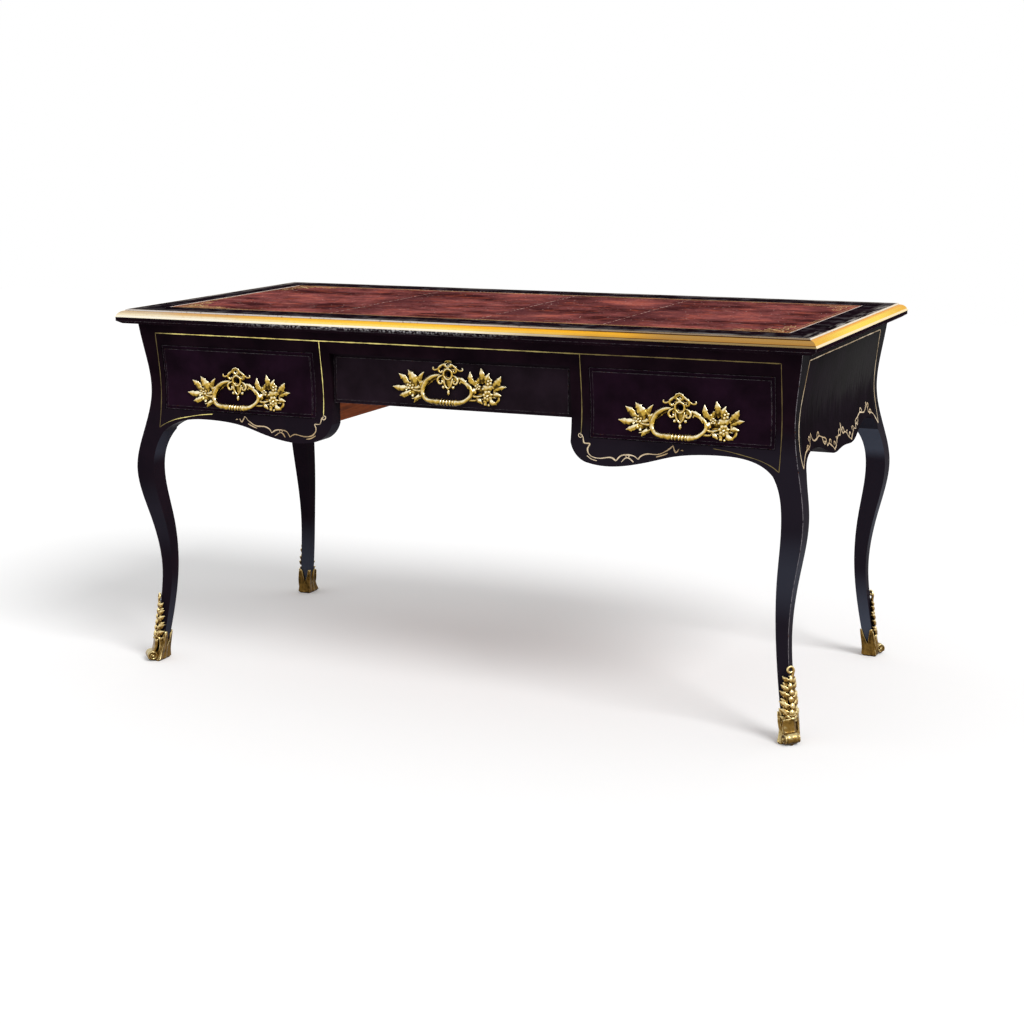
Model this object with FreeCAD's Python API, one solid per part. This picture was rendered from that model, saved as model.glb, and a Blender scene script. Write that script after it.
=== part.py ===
import FreeCAD, Part
import math
import os
from FreeCAD import Vector

# A flat writing desk on four cabriole legs, with three drawers under a leather-lined top.
# Millimetres. X runs to the right, Y to the back and Z up, from the floor under the middle of the top.

# Overall sizes
top_width = 1540.0
top_depth = 736.0
height = 780.0
top_thickness = 30.0
overhang = 36.0            # from the nose of the edge moulding to the carcass face

# Top
moulding_width = 20.0
moulding_height = 16.0
lip_setback = 2.0          # black lip under the moulding
lip_height = 8.0
lip_slope = 10.0           # how far the lip's underside runs in
border_side = 57.0         # black border between moulding and leather
border_front = 74.0
leather_thickness = 1.5
leather_recess = 0.5
leather_seams = (-300.0, 38.0, 309.0)

# Carcass
rail_height = 46.0
drawer_opening = 140.0
center_opening = 104.0
kneehole_half = 268.0
inner_stile = 39.0
stile_width = 52.0         # a leg where it is a corner post
frame_depth = 46.0         # from the face plane to the flat back of the front, back and side walls
wall_thickness = 18.0
wall_drop = 185.0          # kneehole walls, below the carcass top
tenon_length = 12.0
tenon_thickness = 8.0
tenon_shoulder = 5.0

# Legs: height of each station, and the width of the leg there
throat_drop = 272.0
knee_drop = 310.0
ankle_height = 205.0
foot_height = 130.0
throat_width = 43.0
knee_width = 42.5
calf_width = 35.5
ankle_width = 25.6
foot_width = 24.0
toe_width = 20.0

# Gilt shoes
sabot_floor = 4.0
sabot_wall = 4.0
sabot_clearance = 0.3
sabot_rear = 56.0
leaf_shoulder = 72.0
leaf_neck = 105.0
leaf_height = 155.0
leaf_width = 44.0
toe_radius = 9.0
toe_length = 20.0

# Drawers
drawer_gap = 1.5
field_margin = 7.0         # plain edge round the raised field of a drawer front
field_rise = 2.5
edge_sink = 1.0            # the plain edge lies this far behind the carcass face
center_recess = 22.0       # face of the middle drawer, behind the face plane
center_front = 18.0
drawer_length = 545.0      # behind the drawer front
side_inset = 4.0
side_thickness = 12.0
side_drop = 10.0           # drawer sides are lower than the front
bottom_thickness = 6.0
bottom_rise = 7.0
groove_depth = 5.0
runner_height = 20.0
runner_rise = 8.0          # side runners stand above the apron's top edge
runner_width = 24.0
center_runner = 8.0
running_gap = 0.3

# Pulls, one casting each, placed from the keyhole
side_key_drop = 115.0      # keyhole below the carcass top
center_key_drop = 77.0
handle_radius = 5.0
bead_places = (-11.0, 0.0, 11.0)
bead_radius = 2.5
post_left = (-56.0, -31.0)
post_right = (56.0, -31.0)
post_radius = 6.0
post_reach = 11.0
plate_rise = 5.0
plate_sink = 12.0
rim_radius = 10.5
rim_rise = 8.0
key_radius = 5.0
key_slot = (4.0, 10.0)
shank_radius = 2.5
shank_clearance = 0.3
nut_radius = 6.0
nut_thickness = 4.0
nut_clearance = 0.1

# Locks
lock_half = 30.0
lock_depth = 11.0
lock_below_key = 22.0
lock_top_margin = 6.0
bolt_half = 9.0
bolt_height = 14.0
bolt_margin = 3.0

# Places worked out from the sizes
carcass_top = height - top_thickness
face_x = top_width / 2 - overhang
face_y = top_depth / 2 - overhang
post_x = face_x - stile_width
post_y = face_y - stile_width
back_x = face_x - frame_depth
back_y = face_y - frame_depth
opening_top = carcass_top - rail_height
apron_top = opening_top - drawer_opening
center_bottom = opening_top - center_opening
pedestal_inner = kneehole_half + inner_stile
throat_height = carcass_top - throat_drop
knee_height = carcass_top - knee_drop
calf_height = (knee_height + ankle_height) / 2
leather_x = top_width / 2 - moulding_width - border_side
leather_y = top_depth / 2 - moulding_width - border_front
reach = top_width + top_depth + height

# How far a face stands out past its plane, from the carcass top down to the floor of the shoe
face_swell = (
    (carcass_top, 0.5),
    (carcass_top - 60.0, -7.5),
    (carcass_top - 150.0, -15.3),
    (carcass_top - 220.0, -4.5),
    (knee_height, 11.8),
    (calf_height, -5.5),
    (ankle_height, -19.5),
    (foot_height, -14.5),
    (sabot_floor, 1.0),
)

leg_widths = (
    (throat_height, throat_width),
    (knee_height, knee_width),
    (calf_height, calf_width),
    (ankle_height, ankle_width),
    (foot_height, foot_width),
)

# Lower edge of the aprons: share of the span, and depth below the top of the apron
corner_depth = 49.0
front_apron_turn = ((0.0, 10.0), (0.018, 26.0), (0.048, 39.0), (0.099, 48.0))
front_apron_edge = ((0.099, 48.0), (0.181, 52.0), (0.263, 50.0), (0.343, 44.0), (0.42, 36.0), (0.498, 27.0),
                    (0.577, 21.0), (0.657, 18.0), (0.742, 17.0), (0.877, 22.0), (0.954, 34.0),
                    (1.0, corner_depth))
side_apron_edge = ((0.0, 39.5), (0.1, 40.5), (0.21, 42.5), (0.3, 40.5), (0.4, 33.0), (0.5, 23.0), (0.6, 16.0),
                   (0.7, 12.5), (0.8, 13.5), (0.9, 21.0), (0.96, 32.0), (1.0, corner_depth))

# Outlines of a pull, from the keyhole: shield, and the leaves at each end
shield_outline = ((-30.0, 7.0), (-18.0, 18.0), (-2.0, 25.0), (12.0, 20.0), (21.0, 11.0), (21.0, -12.0),
                  (11.0, -27.0), (0.0, -38.0), (-11.0, -27.0), (-22.0, -12.0))
left_leaf = ((-127.0, -31.0), (-110.0, -6.0), (-88.0, 3.0), (-68.0, -4.0), (-52.0, -6.0), (-53.0, -30.0),
             (-54.0, -50.0), (-71.0, -61.0), (-98.0, -52.0))
right_leaf = ((126.0, -22.0), (117.0, -2.0), (97.0, 0.0), (74.0, 12.0), (50.0, 7.0), (52.0, -15.0),
              (55.0, -34.0), (62.0, -46.0), (81.0, -59.0), (108.0, -46.0))

# Centre line of a pull's handle, from the keyhole: across, inwards and up
handle_path = ((-20.0, 0.0, -6.0), (-39.0, -5.0, -14.0), (-49.0, -8.0, -22.0), (-54.0, -9.5, -32.0),
               (-53.0, -12.0, -42.0), (-45.0, -15.5, -50.0), (-31.0, -18.0, -54.0), (0.0, -18.5, -55.0),
               (30.0, -18.0, -54.0), (44.0, -15.5, -49.0), (53.0, -12.0, -40.0), (54.0, -9.5, -31.0),
               (49.0, -8.0, -23.5), (39.0, -5.0, -17.5), (18.0, 0.0, -8.0))

PLANES = {
    "xz": (lambda a, b: Vector(a, 0, b), Vector(0, 1, 0)),
    "yz": (lambda a, b: Vector(0, a, b), Vector(1, 0, 0)),
    "xy": (lambda a, b: Vector(a, b, 0), Vector(0, 0, 1)),
}


def smooth(points):
    curve = Part.BSplineCurve()
    curve.interpolate(points)
    return curve.toShape()


# An outline is a list of runs: two points make a straight line, more make a smooth curve.
def prism(plane, runs, start, end):
    place, normal = PLANES[plane]
    edges = []
    for run in runs:
        points = [place(a, b) for a, b in run]
        edges.append(Part.makeLine(*points) if len(points) == 2 else smooth(points))
    solid = Part.Face(Part.Wire(edges)).extrude(normal * (end - start))
    solid.translate(normal * start)
    return solid


def polygon(points):
    return [[points[i - 1], points[i]] for i in range(len(points))]


def rectangle(a0, a1, b0, b1):
    return polygon(((a0, b0), (a1, b0), (a1, b1), (a0, b1)))


def blob(plane, points, start, end):
    place, normal = PLANES[plane]
    curve = Part.BSplineCurve()
    curve.interpolate(Points=[place(a, b) for a, b in points], PeriodicFlag=True)
    solid = Part.Face(Part.Wire([curve.toShape()])).extrude(normal * (end - start))
    solid.translate(normal * start)
    return solid


def block(x0, x1, y0, y1, z0, z1):
    return Part.makeBox(x1 - x0, y1 - y0, z1 - z0, Vector(x0, y0, z0))


def rod(start, end, radius):
    start, end = Vector(*start), Vector(*end)
    return Part.makeCylinder(radius, (end - start).Length, start, end - start)


def pipe(points, radius):
    curve = Part.BSplineCurve()
    curve.interpolate([Vector(*point) for point in points])
    start = curve.FirstParameter
    circle = Part.makeCircle(radius, curve.value(start), curve.tangent(start)[0])
    return Part.Wire([curve.toShape()]).makePipeShell([Part.Wire([circle])], True)


def mirror_x(shape):
    return shape.mirror(Vector(0, 0, 0), Vector(1, 0, 0))


def mirror_y(shape):
    return shape.mirror(Vector(0, 0, 0), Vector(0, 1, 0))


def reverse_runs(runs):
    return [list(reversed(run)) for run in reversed(runs)]


def flip_runs(runs):
    return [[(-a, b) for a, b in run] for run in runs]


# Swelling walls of the carcass

def swell_at(z):
    curve = Part.BSplineCurve()
    curve.interpolate([Vector(swell, 0, level) for level, swell in face_swell])
    low, high = curve.FirstParameter, curve.LastParameter
    for _ in range(40):
        middle = (low + high) / 2
        if curve.value(middle).z > z:
            low = middle
        else:
            high = middle
    return curve.value(low).x


def wall_section(face, side, proud, back):
    outer = [(side * (face + swell + proud), z) for z, swell in face_swell]
    inside_low = (side * back, sabot_floor)
    inside_top = (side * back, carcass_top)
    return [outer, [outer[-1], inside_low], [inside_low, inside_top], [inside_top, outer[0]]]


def front_wall(outline, side=-1, proud=0.0, back=back_y):
    section = prism("yz", wall_section(face_y, side, proud, back), -reach, reach)
    return section.common(prism("xz", outline, -reach, reach))


def side_wall(outline, proud=0.0):
    section = prism("xz", wall_section(face_x, 1, proud, back_x), -reach, reach)
    return section.common(prism("yz", outline, -reach, reach))


def apron_edge_runs():
    span = post_x - kneehole_half
    return [[(kneehole_half + share * span, apron_top - depth) for share, depth in run]
            for run in (front_apron_turn, front_apron_edge)]


def front_apron():
    edge = apron_edge_runs()
    corners = (edge[-1][-1], (post_x, apron_top), (kneehole_half, apron_top), edge[0][0])
    return front_wall(edge + [[corners[i], corners[i + 1]] for i in range(3)])


def back_panel():
    right = apron_edge_runs()
    left = reverse_runs(flip_runs(right))
    corners = (right[-1][-1], (post_x, carcass_top), (-post_x, carcass_top), left[0][0])
    arch = (left[-1][-1], (-kneehole_half, center_bottom), (kneehole_half, center_bottom), right[0][0])
    runs = right + [[corners[i], corners[i + 1]] for i in range(3)]
    runs = runs + left + [[arch[i], arch[i + 1]] for i in range(3)]
    return front_wall(runs, side=1)


def side_panel():
    far = [(share * post_y, apron_top - depth) for share, depth in side_apron_edge]
    near = reverse_runs(flip_runs([far]))[0]
    corners = (far[-1], (post_y, carcass_top), (-post_y, carcass_top), near[0])
    return side_wall([near, far] + [[corners[i], corners[i + 1]] for i in range(3)])


def front_top_rail():
    return front_wall(rectangle(-post_x, post_x, opening_top, carcass_top))


def front_stile():
    return front_wall(rectangle(kneehole_half, pedestal_inner, apron_top, opening_top))


def kneehole_wall():
    return block(kneehole_half, kneehole_half + wall_thickness, -back_y, back_y,
                 carcass_top - wall_drop, carcass_top)


# Legs and their gilt shoes, made for the corner where X and Y are positive

def leg_outline(face, grow, lowest):
    stations = [(z, swell) for z, swell in face_swell[:-1]] + [(lowest, face_swell[-1][1])]
    outer = [(face + swell + grow, z) for z, swell in stations]
    inner = [(face - stile_width - grow, apron_top - corner_depth)]
    inner += [(face + swell_at(z) - width - grow, z) for z, width in leg_widths]
    inner.append((face + face_swell[-1][1] - toe_width - grow, lowest))
    top_inner = (inner[0][0], carcass_top)
    return [outer, [outer[-1], inner[-1]], inner[::-1], [inner[0], top_inner], [top_inner, outer[0]]]


def leg(grow=0.0, lowest=sabot_floor):
    across = prism("xz", leg_outline(face_x, grow, lowest), -reach, reach)
    along = prism("yz", leg_outline(face_y, grow, lowest), 0, reach)
    return across.common(along)


def on_diagonal(shape):
    shape.rotate(Vector(0, 0, 0), Vector(0, 0, 1), -45)
    toe_swell = face_swell[-1][1]
    shape.translate(Vector(face_x + toe_swell, face_y + toe_swell, 0))
    return shape


def sabot():
    half = leaf_width / 2
    right_side = ((half, 0), (half, sabot_rear), (half * 0.75, leaf_shoulder), (half * 0.3, leaf_neck))
    left_side = tuple((-a, z) for a, z in reversed(right_side))
    leaf_outline = polygon(right_side + ((0, leaf_height),) + left_side)
    leaf = on_diagonal(prism("xz", leaf_outline, -leaf_width, leaf_width))
    shoe = block(0, reach, 0, reach, 0, sabot_rear)
    toe = on_diagonal(rod((-toe_length / 2, 0, toe_radius), (toe_length / 2, 0, toe_radius), toe_radius))
    cover = leg(sabot_wall, 0.0)
    shell = cover.common(shoe).fuse([cover.common(leaf), toe])
    return shell.cut(leg(sabot_clearance)).removeSplitter()


# Top: core, mitred black border, gilt edge moulding and leather

def frame_section(half, side, inner):
    nose = half - moulding_width
    lip = half - lip_setback
    under_gilt = height - moulding_height
    points = ((nose, height), (nose, under_gilt), (lip, under_gilt), (lip, under_gilt - lip_height),
              (lip - lip_slope, carcass_top), (inner, carcass_top), (inner, height))
    return polygon([(side * a, z) for a, z in points])


def moulding_section(half, side):
    low = height - moulding_height
    rise, run = moulding_height, moulding_width
    nose = [(half, low), (half - 0.05 * run, low + 0.4 * rise), (half - 0.32 * run, low + 0.8 * rise),
            (half - 0.7 * run, low + 0.97 * rise), (half - run, height)]
    runs = [nose, [nose[-1], (half - run, low)], [(half - run, low), nose[0]]]
    return [[(side * a, z) for a, z in line] for line in runs]


def long_edge(section, depth, side):
    x, y = top_width / 2, top_depth / 2
    short = min(depth, moulding_width + border_side)
    plan = [(-x, y), (x, y), (x - short, y - short), (x - short, y - depth),
            (short - x, y - depth), (short - x, y - short)]
    plan = plan if depth > short else plan[:3] + plan[5:]
    plan = polygon([(a, side * b) for a, b in plan])
    return prism("yz", section, -x, x).common(prism("xy", plan, 0, height))


def short_edge(section, depth, side):
    x, y = top_width / 2, top_depth / 2
    plan = polygon([(side * x, -y), (side * x, y), (side * (x - depth), y - depth),
                    (side * (x - depth), depth - y)])
    return prism("xz", section, -y, y).common(prism("xy", plan, 0, height))


def add_top(parts):
    half_x, half_y = top_width / 2, top_depth / 2
    leather_bottom = height - leather_recess - leather_thickness
    parts["top_panel"] = block(-leather_x, leather_x, -leather_y, leather_y, carcass_top, leather_bottom)
    for name, side in (("front", -1), ("back", 1)):
        board = frame_section(half_y, side, leather_y)
        parts["top_frame_" + name] = long_edge(board, moulding_width + border_front, side)
        parts["edge_moulding_" + name] = long_edge(moulding_section(half_y, side), moulding_width, side)
    for name, side in (("left", -1), ("right", 1)):
        board = frame_section(half_x, side, leather_x)
        parts["top_frame_" + name] = short_edge(board, moulding_width + border_side, side)
        parts["edge_moulding_" + name] = short_edge(moulding_section(half_x, side), moulding_width, side)
    edges = (-leather_x,) + leather_seams + (leather_x,)
    for i in range(len(edges) - 1):
        parts["leather_skin_%d" % (i + 1)] = block(edges[i], edges[i + 1], -leather_y, leather_y,
                                                   leather_bottom, height - leather_recess)


# Drawers. The fronts of the outer two follow the swelling face, the middle one is flat.

def key_shape(x, z):
    hole = rod((x, -reach, z), (x, reach, z), key_radius)
    width, length = key_slot
    return hole.fuse(block(x - width / 2, x + width / 2, -reach, reach, z - length, z))


def swelling_front(x0, x1, z0, z1, side=-1):
    edge = front_wall(rectangle(x0, x1, z0, z1), side, -edge_sink)
    field = rectangle(x0 + field_margin, x1 - field_margin, z0 + field_margin, z1 - field_margin)
    return edge.fuse(front_wall(field, side, field_rise)).removeSplitter()


def flat_front(x0, x1, z0, z1):
    face = center_recess - face_y
    edge = block(x0, x1, face, face + center_front, z0, z1)
    field = block(x0 + field_margin, x1 - field_margin, face - field_rise - edge_sink, face,
                  z0 + field_margin, z1 - field_margin)
    return edge.fuse(field).removeSplitter()


# One pull in its own frame: the keyhole at the origin, the drawer's face on Y = 0, outwards is -Y
def pull_casting():
    solids = [blob("xz", outline, -plate_rise, plate_sink)
              for outline in (shield_outline, left_leaf, right_leaf)]
    solids.append(rod((0, plate_sink, 0), (0, -rim_rise, 0), rim_radius))
    solids.append(pipe(handle_path, handle_radius))
    _, bar_y, bar_z = min(handle_path, key=lambda point: point[2])
    for x in bead_places:
        solids.append(Part.makeTorus(handle_radius, bead_radius, Vector(x, bar_y, bar_z), Vector(1, 0, 0)))
    for x, z in (post_left, post_right):
        solids.append(rod((x, plate_sink, z), (x, -post_reach, z), post_radius))
    return solids[0].multiFuse(solids[1:])


def shank_places(x, key_z):
    return [(x + a, key_z + b) for a, b in (post_left, post_right)]


def shanks(x, key_z, front, back, radius):
    rods = [rod((a, front, b), (a, back, b), radius) for a, b in shank_places(x, key_z)]
    return rods[0].fuse(rods[1])


def nuts(x, key_z, back):
    solids = []
    for a, b in shank_places(x, key_z):
        corners = [(a + nut_radius * math.cos(math.radians(60 * i)),
                    b + nut_radius * math.sin(math.radians(60 * i))) for i in range(6)]
        nut = prism("xz", polygon(corners), back, back + nut_thickness)
        bore = rod((a, back, b), (a, back + nut_thickness, b), shank_radius + nut_clearance)
        solids.append(nut.cut(bore))
    return Part.makeCompound(solids)


def lock(x, key_z, back, top):
    case_top = top - lock_top_margin
    case = block(x - lock_half, x + lock_half, back, back + lock_depth, key_z - lock_below_key, case_top)
    bolt = block(x - bolt_half, x + bolt_half, back + bolt_margin, back + lock_depth - bolt_margin,
                 case_top - bolt_height, case_top)
    room = block(x - bolt_half - running_gap, x + bolt_half + running_gap,
                 back + bolt_margin - running_gap, back + lock_depth - bolt_margin + running_gap,
                 case_top - bolt_height, case_top)
    return Part.makeCompound([case.cut(room).cut(key_shape(x, key_z)), bolt])


def add_drawer(parts, name, front, x0, x1, z1, face, back, box_bottom, key_z):
    middle = (x0 + x1) / 2
    end = back + drawer_length
    top = z1 - side_drop
    floor_low = box_bottom + bottom_rise
    floor_high = floor_low + bottom_thickness
    left, right = x0 + side_inset, x1 - side_inset
    left_inner, right_inner = left + side_thickness, right - side_thickness
    floor = block(left_inner - groove_depth, right_inner + groove_depth, back, end, floor_low, floor_high)

    pull = pull_casting()
    pull.translate(Vector(middle, face, key_z))
    tail = back + nut_thickness + shank_radius
    pull = pull.cut(front).fuse(shanks(middle, key_z, face - plate_rise, tail, shank_radius))
    holes = shanks(middle, key_z, face - reach, tail, shank_radius + shank_clearance)

    prefix = "drawer_%s_" % name
    parts[prefix + "front"] = front.cut(holes).cut(key_shape(middle, key_z))
    parts[prefix + "side_left"] = block(left, left_inner, back, end, box_bottom, top).cut(floor)
    parts[prefix + "side_right"] = block(right_inner, right, back, end, box_bottom, top).cut(floor)
    parts[prefix + "back"] = block(left_inner, right_inner, end - side_thickness, end, floor_high, top)
    parts[prefix + "bottom"] = floor
    parts[prefix + "pull"] = pull.cut(key_shape(middle, key_z)).removeSplitter()
    parts[prefix + "lock"] = lock(middle, key_z, back, z1)
    parts[prefix + "pull_nuts"] = nuts(middle, key_z, back)


def add_drawers(parts):
    runner_top = apron_top + runner_rise
    side_key = carcass_top - side_key_drop
    near, far = pedestal_inner + drawer_gap, post_x - drawer_gap
    low, high = apron_top + drawer_gap, opening_top - drawer_gap
    face = -(face_y + swell_at(side_key) + field_rise)
    for name, x0, x1 in (("left", -far, -near), ("right", near, far)):
        front = swelling_front(x0, x1, low, high)
        add_drawer(parts, name, front, x0, x1, high, face, -back_y, runner_top + running_gap, side_key)
    half = kneehole_half - drawer_gap
    face = center_recess - face_y
    add_drawer(parts, "center", flat_front(-half, half, center_bottom, high), -half, half, high,
               face - field_rise - edge_sink, face + center_front,
               center_bottom + center_runner + running_gap, carcass_top - center_key_drop)


def add_runners(parts):
    top = apron_top + runner_rise
    near = (kneehole_half + wall_thickness, pedestal_inner + runner_width)
    far = (post_x - runner_width, post_x)
    pair = [block(x0, x1, -back_y, back_y, top - runner_height, top) for x0, x1 in (near, far)]
    right = Part.makeCompound(pair)
    parts["runners_right"] = right
    parts["runners_left"] = mirror_x(right)
    inner = kneehole_half - side_inset - drawer_gap - side_thickness
    behind_front = center_recess - face_y + center_front + running_gap
    strip = block(inner, kneehole_half, behind_front, back_y, center_bottom, center_bottom + center_runner)
    parts["runners_center"] = Part.makeCompound([strip, mirror_x(strip)])


# Sham drawers on the back: raised fields and the same pulls, pinned to the back panel
def add_shams(parts):
    near, far = pedestal_inner + drawer_gap, post_x - drawer_gap
    low, high = apron_top + drawer_gap, opening_top - drawer_gap
    half = kneehole_half - drawer_gap
    side_key, center_key = carcass_top - side_key_drop, carcass_top - center_key_drop
    fields, pulls = [], []
    for x0, x1, z0, key_z in ((-far, -near, low, side_key), (near, far, low, side_key),
                              (-half, half, center_bottom + drawer_gap, center_key)):
        outline = rectangle(x0 + field_margin, x1 - field_margin, z0 + field_margin, high - field_margin)
        solid = front_wall(outline, 1, field_rise)
        fields.append(solid.cut(parts["back_panel"]))
        pull = pull_casting()
        pull.rotate(Vector(0, 0, 0), Vector(0, 0, 1), 180)
        pull.translate(Vector((x0 + x1) / 2, face_y + swell_at(key_z) + field_rise, key_z))
        pulls.append(pull.cut(solid).cut(parts["back_panel"]).removeSplitter())
    parts["sham_fronts"] = Part.makeCompound(fields)
    parts["sham_pulls"] = Part.makeCompound(pulls)


# A tenon is part of one piece and is cut out of the other
def pin_together(parts, owner, host, tenon):
    parts[owner] = parts[owner].fuse(tenon).removeSplitter()
    parts[host] = parts[host].cut(tenon)


def add_tenons(parts):
    rail = (back_y, back_y + tenon_thickness, opening_top + tenon_shoulder, carcass_top - tenon_shoulder)
    apron = (back_y, back_y + tenon_thickness, apron_top - corner_depth + 3 * tenon_shoulder,
             apron_top - tenon_shoulder)
    panel = (back_x + tenon_thickness, back_x + 2 * tenon_thickness, apron_top, opening_top)
    for name, side in (("left", -1), ("right", 1)):
        x0, x1 = sorted((side * post_x, side * (post_x + tenon_length)))
        for owner, (y0, y1, z0, z1) in (("front_top_rail", rail), ("front_apron_" + name, apron)):
            pin_together(parts, owner, "leg_front_" + name, block(x0, x1, -y1, -y0, z0, z1))
        y0, y1, z0, z1 = rail[0], rail[1], apron[2], rail[3]
        pin_together(parts, "back_panel", "leg_back_" + name, block(x0, x1, y0, y1, z0, z1))
        x0, x1 = sorted((side * panel[0], side * panel[1]))
        for end, y0, y1 in (("front", -post_y - tenon_length, -post_y), ("back", post_y, post_y + tenon_length)):
            tenon = block(x0, x1, y0, y1, panel[2], panel[3])
            pin_together(parts, "side_panel_" + name, "leg_%s_%s" % (end, name), tenon)


def build():
    parts = {}
    add_top(parts)
    corner, shoe = leg(), sabot()
    for piece, solid in (("leg", corner), ("sabot", shoe)):
        parts[piece + "_back_right"] = solid
        parts[piece + "_back_left"] = mirror_x(solid)
        parts[piece + "_front_right"] = mirror_y(solid)
        parts[piece + "_front_left"] = mirror_y(mirror_x(solid))
    for name, solid in (("side_panel", side_panel()), ("front_apron", front_apron()),
                        ("front_stile", front_stile()), ("kneehole_wall", kneehole_wall())):
        parts[name + "_right"] = solid
        parts[name + "_left"] = mirror_x(solid)
    parts["front_top_rail"] = front_top_rail()
    parts["back_panel"] = back_panel()
    add_shams(parts)
    add_tenons(parts)
    add_runners(parts)
    add_drawers(parts)
    return parts


os.makedirs("parts", exist_ok=True)
for node, shape in build().items():
    shape.exportStep("parts/%s.step" % node)
    print(node, len(shape.Solids), "solids", "valid" if shape.isValid() else "NOT VALID", round(shape.Volume))
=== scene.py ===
import math
import re
import bpy
import numpy as np
from mathutils import Matrix, Vector
from mathutils.bvhtree import BVHTree


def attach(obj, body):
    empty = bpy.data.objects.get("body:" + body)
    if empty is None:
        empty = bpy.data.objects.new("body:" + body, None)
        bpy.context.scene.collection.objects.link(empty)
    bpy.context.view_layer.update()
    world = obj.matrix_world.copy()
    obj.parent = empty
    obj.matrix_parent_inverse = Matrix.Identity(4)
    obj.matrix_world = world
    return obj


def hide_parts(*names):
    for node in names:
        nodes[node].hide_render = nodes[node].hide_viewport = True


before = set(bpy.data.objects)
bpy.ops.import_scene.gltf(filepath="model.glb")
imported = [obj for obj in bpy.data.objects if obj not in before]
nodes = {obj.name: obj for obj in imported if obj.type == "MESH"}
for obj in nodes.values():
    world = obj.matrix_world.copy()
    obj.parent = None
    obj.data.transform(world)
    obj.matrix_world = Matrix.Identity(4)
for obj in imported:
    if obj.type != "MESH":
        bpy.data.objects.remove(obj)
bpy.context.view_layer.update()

scene = bpy.context.scene
mm = 0.001

for stray in ("Cube", "Camera", "Light"):
    if stray in bpy.data.objects:
        bpy.data.objects.remove(bpy.data.objects[stray], do_unlink=True)


def linear(hexColour):                              # sRGB hex to linear RGBA
    parts = [int(hexColour[i:i + 2], 16) / 255 for i in (1, 3, 5)]
    return tuple(c / 12.92 if c <= 0.04045 else ((c + 0.055) / 1.055) ** 2.4 for c in parts) + (1.0,)


def put(tree, kind, feeds=(), **settings):          # one node, its settings, and what feeds it
    made = tree.nodes.new("ShaderNode" + kind)
    for name, value in settings.items():
        setattr(made, name, value)
    if kind == "Mix":                               # a share and two colours
        made.data_type = "RGBA"
        feeds = dict(zip((0, 6, 7), feeds))
    elif isinstance(feeds, tuple):                  # in the order of its sockets
        feeds = dict(enumerate(feeds))
    for name, value in feeds.items():
        if name == "Size":                          # a texture's real size, in mm
            name, value = "Scale", 1000.0 / value
        if isinstance(value, bpy.types.Node):       # a node gives its first live output
            value = next(socket for socket in value.outputs if socket.enabled)
        if isinstance(value, bpy.types.NodeSocket):
            tree.links.new(value, made.inputs[name])
        else:
            made.inputs[name].default_value = linear(value) if isinstance(value, str) else value
    return made


def lay(tree, base, colour, *shares):               # a colour over the base, where all the shares meet
    whole = None
    for share in shares:
        if isinstance(share, tuple):                # a range of some other value
            share = put(tree, "MapRange", share)
        whole = share if whole is None else put(tree, "Math", (whole, share), operation="MULTIPLY")
    return put(tree, "Mix", (whole, base, colour))


def newMaterial(name):
    material = bpy.data.materials.new(name)
    material.use_nodes = True
    material.node_tree.nodes.clear()
    return material, material.node_tree


def addObject(name, data):
    made = bpy.data.objects.new(name, data)
    scene.collection.objects.link(made)
    return made


# light, floor and camera
studio = {
    "sunFrom": (0.95, -0.47, 1.0), "sunSpread": 27.0, "sunStrength": 1.84,
    "skyLight": 0.6, "skySeen": 1.0, "floorColour": "#f6f6f6", "floorGlow": 0.15, "floorSize": 14.0, "white": "#ffffff",
    "lens": 66.3, "sensor": 36.0, "sight": 60.0,
    "place": (1.67133, -3.68938, 1.18622), "turn": 24.44, "down": 11.96, "roll": -0.39,
}


def asSeen(tree, light, seen):                      # one strength as a light, another where it is looked at
    path = put(tree, "LightPath")
    looks = put(tree, "Math", (path.outputs["Is Camera Ray"], path.outputs["Is Glossy Ray"]), operation="ADD")
    looks = put(tree, "Math", (looks, path.outputs["Is Transmission Ray"]), operation="ADD", use_clamp=True)
    return put(tree, "MapRange", (looks, 0.0, 1.0, light, seen))


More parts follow.
